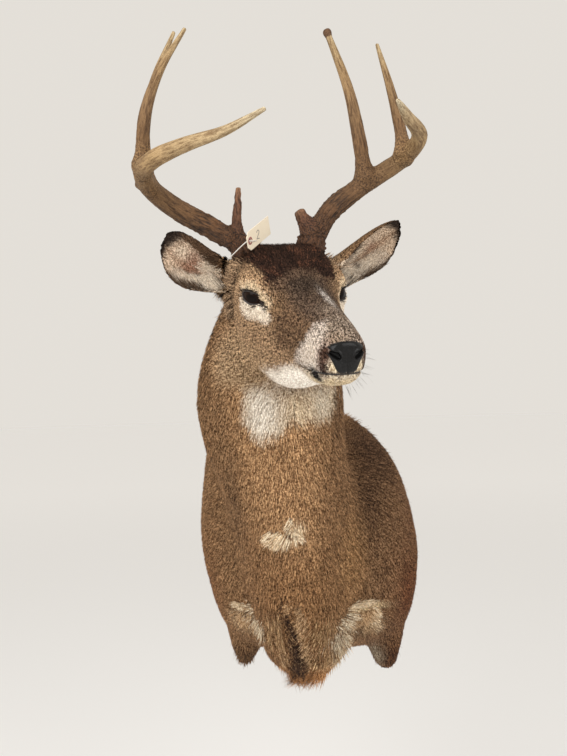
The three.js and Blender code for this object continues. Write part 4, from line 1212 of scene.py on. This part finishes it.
# The hide draws back under the nose, and well back where the nostrils go in.
points = get_points(hide.data)
local = to_head(points)
nostril = [a * (1 - t) + b * t for a, b in zip(NOSTRIL, NOSTRIL[1:]) for t in (0, 0.25, 0.5, 0.75, 1)]
across_up = np.stack([np.abs(local[:, 1]), local[:, 2]], 1)
gap = np.min([np.linalg.norm(across_up - at[:2], axis=1) - at[2] for at in nostril], axis=0)
under = ramp(-gap, -2.6, -0.4) * ramp(local[:, 0], 172, 180)
pad = near(local, (197, 0, -26), (14, 19, 15)) * (local[:, 0] > 180)
back = under[:, None] * (-11.0, -3.0, -1.0)
back[:, 1] *= np.sign(local[:, 1])
back[:, 0] -= 1.4 * ramp(pad, 0.3, 0.6)
set_points(hide.data, from_head(local + back))

edge = np.array(NOSE_EDGE + tuple((-l, u) for l, u in NOSE_EDGE[-2:0:-1]), float)
edge = np.concatenate([edge, edge[:1]])
run = np.concatenate([[0], np.cumsum(np.linalg.norm(np.diff(edge, axis=0), axis=1))])
SPOKES, RINGS = 120, 44
at = np.linspace(0, run[-1], SPOKES, endpoint=False)
outline = np.stack([np.interp(at, run, edge[:, i]) for i in (0, 1)], 1)
for _ in range(10):
    outline = 0.5 * outline + 0.25 * (np.roll(outline, 1, 0) + np.roll(outline, -1, 0))
outline = NOSE_MIDDLE + (outline - NOSE_MIDDLE) * 1.03
shape = bmesh.new()
bmesh.ops.create_grid(shape, x_segments=SPOKES, y_segments=RINGS, size=1.0)
flat_verts = sorted(shape.verts, key=lambda v: (round(v.co.y, 5), v.co.x))
back = Vector(-HEAD_AXES[:, 0])
for i, v in enumerate(flat_verts):
    ring, spoke = divmod(i, SPOKES + 1)
    share = (ring / RINGS) ** 0.9
    l, u = NOSE_MIDDLE + (outline[spoke % SPOKES] - NOSE_MIDDLE) * share
    hit = skin_tree.ray_cast(Vector(from_head((240, l, u))), back)
    spot, facing = to_head(hit[0]), np.array(hit[1]) @ HEAD_AXES
    lift = 1.3 * (1 - share ** 14) - 1.1 * share ** 14
    lift += 0.5 * math.exp(-((abs(l) - 8) / 6) ** 2) * math.exp(-((u + 34) / 7) ** 2)
    lift -= 1.1 * math.exp(-(l / 1.3) ** 2) * (1 / (1 + math.exp((u + 31) / 1.5)))
    hole = min(math.dist((abs(l), u), at[:2]) / at[2] for at in nostril)
    lift += 0.7 * math.exp(-((hole - 1.5) / 0.5) ** 2)
    sink_in = 7.0 / (1 + math.exp((hole - 0.95) / 0.12))
    v.co = Vector(from_head(spot + facing * lift - np.array((0.8, 0.35 * np.sign(l), 0.1)) * sink_in))
bmesh.ops.remove_doubles(shape, verts=shape.verts, dist=1e-5)
bmesh.ops.recalc_face_normals(shape, faces=shape.faces)
add_mesh("nose", shape, nose_skin, ["nose_pad"])

# The seam runs round the muzzle's end from one side to the other, 0 degrees being straight ahead.
seam_angles = np.linspace(-150, 150, 121)
seam_line = []
for angle in seam_angles:
    a = math.radians(angle)
    if abs(angle) > 90:
        f = 170 - (abs(angle) - 90) * 0.85
        turned = math.copysign(1, angle)
        start_at, way = (f, 60 * turned, mouth_height(f)), (0, -turned, 0)
    else:
        height = float(mouth_height(170 + 27 * math.cos(a)))
        start_at = (170 + 60 * math.cos(a), 60 * math.sin(a), height)
        way = (-math.cos(a), -math.sin(a), 0)
    hit = skin_tree.ray_cast(Vector(from_head(start_at)), Vector(HEAD_AXES @ np.array(way)))
    seam_line.append(np.array(hit[0]) - 0.0001 * (HEAD_AXES @ -np.array(way)))
thick = 0.0011 * np.interp(np.abs(seam_angles), (0, 50, 90, 150), (1.15, 1, 0.75, 0.5))
strand("lip_seam", [(seam_line, thick)], lid_skin, sides=2)

# ---------------------------------------------------------------- the antlers
# Each antler is one bone, from the burr on the skull to its tips, ridged along its length. It is dark,
# pearled and stained by bark at the burr, tan above, and worn pale and smooth at the tips.
# The beam's middle line, in the head's millimetres; each tine's, with its half width at foot and tip.
ANTLERS = {
    "right": {
        "beam": ((-60, -48, 30), (-69, -54, 51), (-86, -90, 74), (-95, -134, 98), (-84, -171, 126),
                 (-46, -189, 152), (-4, -184, 171), (52, -153, 193), (101, -117, 211), (135, -82, 235)),
        "brow_tine": (((-74, -61, 55), (-81, -60, 89), (-87, -57, 129)), 8.5, 3.5),
        "g2_tine": (((-78, -181, 131), (-96, -180, 200), (-116, -162, 263), (-137, -132, 323)), 10, 2.5),
        "g3_tine": (((-40, -190, 157), (-39, -186, 219), (-60, -164, 272), (-79, -128, 324)), 9.5, 2.5),
    },
    "left": {
        "beam": ((-68, 38, 35), (-74, 46, 55), (-79, 73, 98), (-76, 107, 126), (-74, 143, 149),
                 (-54, 170, 174), (-19, 171, 200), (37, 127, 227), (95, 87, 246)),
        "brow_tine": (((-75, 46, 66), (-80, 37, 82), (-83, 28, 97)), 11, 8),
        "g2_tine": (((-75, 121, 138), (-91, 114, 196), (-119, 106, 258), (-157, 84, 335)), 11, 4),
        "g3_tine": (((-53, 167, 174), (-65, 162, 213), (-79, 152, 259), (-105, 139, 317)), 9.5, 2.5),
    },
}
BEAM_AT = (0, .04, .1, .25, .45, .65, .82, .93, 1)  # along the beam from burr to tip
BEAM_RADIUS = (15, 16, 14.5, 14.2, 12.8, 10.3, 7, 4.5, 2.5)
BURR_AT, BURR_RADIUS = 0.045, 22.0
ANTLER_CELL = 0.0014  # how finely the joined antler is cut up


def flowing(points, count):
    """Evenly spaced points on the smooth curve through the given ones."""
    p = np.array(points, float)
    p = np.concatenate([[2 * p[0] - p[1]], p, [2 * p[-1] - p[-2]]])
    fine_points = []
    for a, b, c, d in zip(p[:-3], p[1:-2], p[2:-1], p[3:]):
        ab, bc, cd = (math.sqrt(np.linalg.norm(v)) for v in (b - a, c - b, d - c))
        leave = ((b - a) / ab - (c - a) / (ab + bc) + (c - b) / bc) * bc
        arrive = ((c - b) / bc - (d - b) / (bc + cd) + (d - c) / cd) * bc
        t = np.linspace(0, 1, 60, endpoint=False)[:, None]
        fine_points.append(b + leave * t + (-3 * b + 3 * c - 2 * leave - arrive) * t ** 2
                           + (2 * b - 2 * c + leave + arrive) * t ** 3)
    fine_points = np.concatenate(fine_points + [p[-2:-1]])
    run = np.concatenate([[0], np.cumsum(np.linalg.norm(np.diff(fine_points, axis=0), axis=1))])
    even = np.linspace(0, run[-1], count)
    return np.stack([np.interp(even, run, fine_points[:, i]) for i in range(3)], 1), run[-1]


def frames_along(path):
    """The way ahead at each step of a path, and a sideways one that is carried along without a twist."""
    ahead_ways = unit(np.gradient(path, axis=0))
    side_ways = [unit(np.cross(ahead_ways[0], (0.3, 0.2, 1.0)))]
    for way in ahead_ways[1:]:
        side_ways.append(unit(side_ways[-1] - way * (side_ways[-1] @ way)))
    return ahead_ways, np.array(side_ways)


def sweep_tube(shape, path, radii, sides=24):
    """Extrudes a ring of points along the path, with a radius at each step, and closes both ends."""
    ring = None
    for point, tangent, normal, radius in zip(path, *frames_along(path), radii):
        matrix = Matrix([list(normal), list(np.cross(tangent, normal)), list(tangent)]).transposed().to_4x4()
        made = bmesh.ops.create_circle(shape, cap_ends=False, segments=sides, radius=radius / 1000,
                                       matrix=Matrix.Translation(from_head(point)) @ HEAD_TURN @ matrix)
        edges = list({e for v in made["verts"] for e in v.link_edges})
        if ring:
            bmesh.ops.bridge_loops(shape, edges=ring + edges)
        else:
            bmesh.ops.holes_fill(shape, edges=edges)
        ring = edges
    bmesh.ops.holes_fill(shape, edges=ring)


def shades(at, stops, colours):
    """The colours at the given places between the stops."""
    return np.stack([np.interp(at, stops, c) for c in zip(*colours)], 1)


def note(obj, name, values):
    """Stores a number or a vector at each point, for the finish to read."""
    kind, field = ("FLOAT", "value") if values.ndim == 1 else ("FLOAT_VECTOR", "vector")
    layer = obj.data.attributes.new(name, kind, "POINT")
    layer.data.foreach_set(field, values.astype(np.float32).ravel())


HEAD_TURN = Matrix([list(HEAD_AXES[:, i]) for i in range(3)]).transposed().to_4x4()
antler_bone, start, where, shader = finish("antler_bone", Roughness=0.55, Specular_IOR_Level=0.35)
colour = start.stored("tint")
grain_at = start.stored("grain", 1)
rough = start.stored("rough", 2)
grooves = start.noise(grain_at, 1.15, 3.0, 0.6)
lines = start.noise(grain_at, 2.4, 4.0, 0.65)
fibres = start.noise(grain_at, 7.0, 3.0, 0.6)
pores = start.noise(where, 520.0, 3.0, 0.6)
joint = start.stored("joint", 2)
streaky = grooves.ramp(0.43, 0.54) * 0.45 + lines.ramp(0.43, 0.53) * 0.37 + fibres.ramp(0.42, 0.56) * 0.18
stain = streaky * (1.0 - joint) + pores.ramp(0.40, 0.60) * joint
dark = colour.times(rough.mix((0.40, 0.31, 0.23, 1), (0.12, 0.09, 0.07, 1)))
bright = colour.times(rough.mix((1.22, 1.20, 1.17, 1), (1.80, 1.60, 1.40, 1)))
tone = stain.mix(dark, bright)
feed(start, shader, Base_Color=tone, Roughness=0.62 - rough * 0.05 + pores * 0.1,
     Normal=start.bump(grooves * 0.8 + lines * 0.6 + fibres * 0.3 + pores * rough * 0.6, 0.0024, 0.9))

BEAM_TONES = ((0, .18, .4, .62, .9, 1),
              ((70, 46, 29), (87, 63, 41), (120, 93, 62), (155, 129, 92), (184, 163, 128), (202, 190, 162)))
BROW_TONES = ((84, 58, 42), (98, 68, 50), (118, 88, 66))
TINE_TONES = ((112, 85, 56), (143, 117, 82), (178, 158, 122))
CAP_STEPS = 4  # the rounds that close each tip

for side_name, parts in ANTLERS.items():
    shape = bmesh.new()
    paths = []
    for part, spec in parts.items():
        if part == "beam":
            path, long = flowing(spec, 110)
            t = np.linspace(0, 1, len(path))
            radii = np.interp(t, BEAM_AT, BEAM_RADIUS)
            radii = radii + (BURR_RADIUS - 16) * np.exp(-((t - BURR_AT) / 0.018) ** 2)
        else:
            path, long = flowing(spec[0], 60)
            t = np.linspace(0, 1, len(path))
            radii = spec[1] + (spec[2] - spec[1]) * t ** 1.25 + 6.0 * np.exp(-(t * long / 17) ** 2)
            if (side_name, part) == ("left", "g2_tine"):
                radii += 2.2 * np.exp(-((t - 0.985) / 0.02) ** 2)
        ends = np.linspace(0, math.pi / 2, CAP_STEPS + 1)[1:]
        tip_way = unit(path[-1] - path[-2])
        cap = path[-1] + tip_way * (0.35 * radii[-1] * np.sin(ends))[:, None]
        cap_radii = radii[-1] * np.cos(ends).clip(0.12)
        sweep_tube(shape, np.concatenate([path, cap]), np.concatenate([radii, cap_radii]))
        paths.append((path, radii, long))
    bmesh.ops.recalc_face_normals(shape, faces=shape.faces)
    parts = ("beam_lower", "beam_upper", "brow_tine", "g2_tine", "g3_tine")
    names = [f"antler_{side_name}_{part}" for part in parts]
    antler = add_mesh(f"antler_{side_name}", shape, antler_bone, names)
    recast(antler, ANTLER_CELL)
    antler.data.materials.clear()
    antler.data.materials.append(antler_bone)
    antler.data.shade_smooth()
    points = to_head(get_points(antler.data))
    closest = np.full(len(points), 1e9)
    along_mm, share = np.zeros(len(points)), np.zeros(len(points))
    spoke = np.zeros((len(points), 2))
    kind = np.zeros(len(points), int)
    thick = np.ones(len(points))
    # Each point learns which part it's on, how far along it, and on what side of its middle line.
    for number, (path, radii, long) in enumerate(paths):
        tangents, frames = frames_along(path)
        for block in np.array_split(np.arange(len(points)), 12):
            gap = points[block][:, None] - path[None]
            reach = np.linalg.norm(gap, axis=2) - radii
            best = reach.argmin(1)
            found = reach[np.arange(len(block)), best]
            better = found < closest[block]
            rows, best = block[better], best[better]
            closest[rows] = found[better]
            q = points[rows] - path[best]
            n, b = frames[best], np.cross(tangents[best], frames[best])
            spoke[rows] = unit(np.stack([(q * n).sum(1), (q * b).sum(1)], 1))
            share[rows] = best / (len(path) - 1)
            along_mm[rows] = share[rows] * long + (q * tangents[best]).sum(1)
            kind[rows] = number
            thick[rows] = radii[best]
    is_beam, is_brow = kind == 0, kind == 1
    on_tine = np.where(is_brow, 0.9 - 0.5 * share, 0.28 * ramp(-share, -0.5, 0))
    roughness = np.where(is_beam, ramp(-share, -0.42, -0.08), on_tine)
    grain = np.column_stack([spoke * (thick / 4.5)[:, None], along_mm / 26.0])
    wobble = np.sin(grain @ (5.1, 3.3, 0.8) + 2 * np.sin(grain @ (1.3, -4.2, 0.5)))
    wobble += 0.7 * np.sin(grain @ (-9.2, 7.7, 1.6) + 1.3 + 1.5 * np.sin(grain @ (2.2, 1.1, 1.9)))
    pearls = blur(points, 2.6, 1.0 + kind) + 0.7 * blur(points, 1.5, 2.0)
    burr = np.where(is_beam, np.exp(-((share - BURR_AT) / 0.03) ** 2), 0)
    knob = near(points, (-60, 180, 164), (8, 7, 7)) if side_name == "left" else 0.0
    ridges = 0.42 * wobble * (0.3 + 1.1 * roughness) * ramp(thick, 2, 9)
    push = 4.0 * knob + ridges + (1.4 * roughness + 1.3 * burr) * pearls
    joints = np.zeros(len(points))
    for path, radii, _ in paths[1:]:
        joints = np.maximum(joints, near(points, path[0] * 0.7 + path[8] * 0.3, (2.2 * radii[0],) * 3))
    soften(antler, ramp(joints, 0.2, 0.6), 70)
    normals = get_normals(antler.data) @ HEAD_AXES
    set_points(antler.data, from_head(to_head(get_points(antler.data)) + normals * push[:, None]))
    soften(antler, np.where(closest < -1.5, 1.0, 0.3), 2)

    bone = shades(share, *BEAM_TONES)
    beam = paths[0][0]
    for number, (path, _, _) in enumerate(paths[1:], 1):
        joins = np.linalg.norm(beam - path[0], axis=1).argmin() / (len(beam) - 1)
        foot = shades([joins], *BEAM_TONES)[0]
        tones = BROW_TONES if number == 1 else TINE_TONES
        mine = kind == number
        bone[mine] = shades(share[mine], (0, .25, .7, 1), (foot, *tones))
    if side_name == "left":
        bone = np.where(((kind == 2) & (share > 0.965))[:, None], (98, 72, 50), bone)
    # The rough undersides, mostly round the burr, are darker: partly stain and partly painted shade.
    below = ramp(-(normals @ HEAD_AXES.T)[:, 2], 0.0, 0.8) * roughness
    tint(antler, linear(bone) * (1 + 0.16 * blur(points, 14.0, 2.0)[:, None]) * (1 - 0.35 * below[:, None]))
    note(antler, "grain", grain)
    note(antler, "joint", 0.85 * ramp(joints, 0.3, 0.8))
    note(antler, "rough", roughness)

# ---------------------------------------------------------------- the back board
# A plywood board is screwed into the back of the form and lies flat on the wall. The hide is stapled
# to its edge, so it shows only from behind.
plywood, start, where, shader = finish("plywood", Roughness=0.75)
stretched = start.node("ShaderNodeMapping", (), 0, Vector=where, Scale=(60.0, 4.0, 4.0))
rings = start.noise(stretched, 3.0, 4.0, 0.6)
feed(start, shader, Base_Color=rings.mix((0.36, 0.24, 0.13, 1), (0.55, 0.40, 0.24, 1)),
     Normal=start.bump(rings, 0.0006, 0.4))
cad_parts["back_board"].material_slots[0].material = plywood

# ---------------------------------------------------------------- the tag
# A manila card with clipped corners and a red paper ring round its hole, numbered by hand and tied
# round the foot of the right antler with a closed loop of white cotton string.
HOLE_AT = np.array((-0.075, -0.412, 0.423))
CARD_ALONG = unit((0.484, 0.694, 0.535))
card_across = np.array((0.105, 0.557, -0.82))
card_across = unit(card_across - CARD_ALONG * (CARD_ALONG @ card_across))
card_out = np.cross(CARD_ALONG, card_across)
card_out = card_out * (-1 if card_out[1] > 0 else 1)
manila, start, where, shader = finish("manila", Roughness=0.7)
pulp = start.noise(where, 700.0, 3.0)
smudge = start.noise(where, 60.0, 2.0)
feed(start, shader, Base_Color=(pulp * 0.5 + smudge * 0.5).mix((0.80, 0.68, 0.50, 1), (0.92, 0.82, 0.66, 1)),
     Normal=start.bump(pulp, 0.0002, 0.3))
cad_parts["tag"].material_slots[0].material = manila

ring_paper, start, where, shader = finish("ring_paper", Roughness=0.6)
pulp = start.noise(where, 900.0, 2.0)
feed(start, shader, Base_Color=pulp.mix((0.30, 0.10, 0.09, 1), (0.42, 0.18, 0.15, 1)))
ink, start, where, shader = finish("ink", Roughness=0.5)
pulp = start.noise(where, 1200.0, 2.0)
feed(start, shader, Base_Color=pulp.mix((0.02, 0.02, 0.03, 1), (0.07, 0.07, 0.09, 1)))
cotton, start, where, shader = finish("cotton", Roughness=0.85, Sheen_Weight=0.2)
twist = start.noise(where, 1600.0, 2.0)
feed(start, shader, Base_Color=twist.mix((0.62, 0.58, 0.52, 1), (0.88, 0.85, 0.80, 1)),
     Normal=start.bump(twist, 0.0004, 0.7))

CARD_HALF = 0.0004  # of its thickness
for number, sign in enumerate((1, -1)):
    shape = bmesh.new()
    profile = [shape.verts.new(Vector(HOLE_AT + CARD_ALONG * r + card_out * sign * (CARD_HALF + h)))
               for r, h in ((0.0028, -0.0001), (0.0028, 0.00015), (0.0052, 0.00015), (0.0052, -0.0001))]
    edges = [shape.edges.new((profile[i], profile[(i + 1) % 4])) for i in range(4)]
    bmesh.ops.spin(shape, geom=profile + edges, cent=Vector(HOLE_AT), axis=Vector(card_out), angle=math.tau,
                   steps=40, use_merge=True)
    bmesh.ops.remove_doubles(shape, verts=shape.verts, dist=1e-6)
    bmesh.ops.recalc_face_normals(shape, faces=shape.faces)
    add_mesh(f"tag_ring_{number + 1}", shape, ring_paper)

# The number is a plain 2, one stroke of the pen.
two = np.array(((-3.2, 3.0), (-2.2, 5.2), (0.4, 6.0), (2.6, 4.6), (2.6, 2.2), (0.6, -0.6), (-1.6, -3.2),
                (-3.2, -5.4), (-1.0, -5.6), (1.4, -5.2), (3.6, -5.5)))
run = np.linspace(0, len(two) - 1, 60)
stroke = np.stack([np.interp(run, np.arange(len(two)), two[:, i]) for i in (0, 1)], 1)
for _ in range(5):
    stroke[1:-1] = 0.5 * stroke[1:-1] + 0.25 * (stroke[2:] + stroke[:-2])
up_card = unit(CARD_ALONG * 0.25 - card_across)
right_card = unit(np.cross(up_card, card_out))
right_card = right_card * np.sign(right_card @ CARD_ALONG)
digit = (HOLE_AT + CARD_ALONG * 0.020 + card_out * CARD_HALF
         + stroke[:, :1] / 1000 * right_card + stroke[:, 1:] / 1000 * up_card)
strand("tag_number", [(digit, 0.00035)], ink, sides=2)

string = joined_copy("string", ["tag_string"], 0.0002)
round_off = string.modifiers.new("round", "SUBSURF")
round_off.levels = round_off.render_levels = 2
apply_modifiers(string)
string.data.materials.clear()
string.data.materials.append(cotton)
string.data.shade_smooth()
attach(string, "root")
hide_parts("tag_string")

# ---------------------------------------------------------------- the room
# A pale floor well below, an even pale surround, and two broad soft lamps high in front.
world = bpy.data.worlds.new("room")
bpy.context.scene.world = world
world.use_nodes = True
surround = world.node_tree.nodes["Background"]
surround.inputs["Color"].default_value = (0.90, 0.86, 0.80, 1)
surround.inputs["Strength"].default_value = 0.86

LAMPS = (("lamp_left", (-1.5, -2.3, 1.5), 1.8, 56.0),
         ("lamp_right", (1.7, -2.2, 1.2), 1.6, 30.0))
FLOOR_HEIGHT = -0.75
for name, at, size, watts in LAMPS:
    lamp = bpy.data.lights.new(name, "AREA")
    lamp.size = size
    lamp.energy = watts
    holder = bpy.data.objects.new(name, lamp)
    holder.location = at
    holder.rotation_euler = (Vector((0, -0.2, 0.1)) - Vector(at)).to_track_quat("-Z", "Y").to_euler()
    bpy.context.collection.objects.link(holder)

shape = bmesh.new()
bmesh.ops.create_circle(shape, cap_ends=True, segments=64, radius=40.0,
                        matrix=Matrix.Translation((0, 0, FLOOR_HEIGHT)))
floor_mesh = bpy.data.meshes.new("floor")
shape.to_mesh(floor_mesh)
shape.free()
floor = bpy.data.objects.new("floor", floor_mesh)
bpy.context.collection.objects.link(floor)
floor_finish, start, where, shader = finish("floor", Roughness=0.9)
away = start.node("ShaderNodeVectorMath", {"operation": "LENGTH"}, 1, _0=where)
feed(start, shader, Base_Color=away.ramp(0.6, 9.0).mix((0.86, 0.86, 0.86, 1), (0.995, 0.995, 0.995, 1)))
floor_mesh.materials.append(floor_finish)
bpy.context.scene.view_settings.view_transform = "Standard"
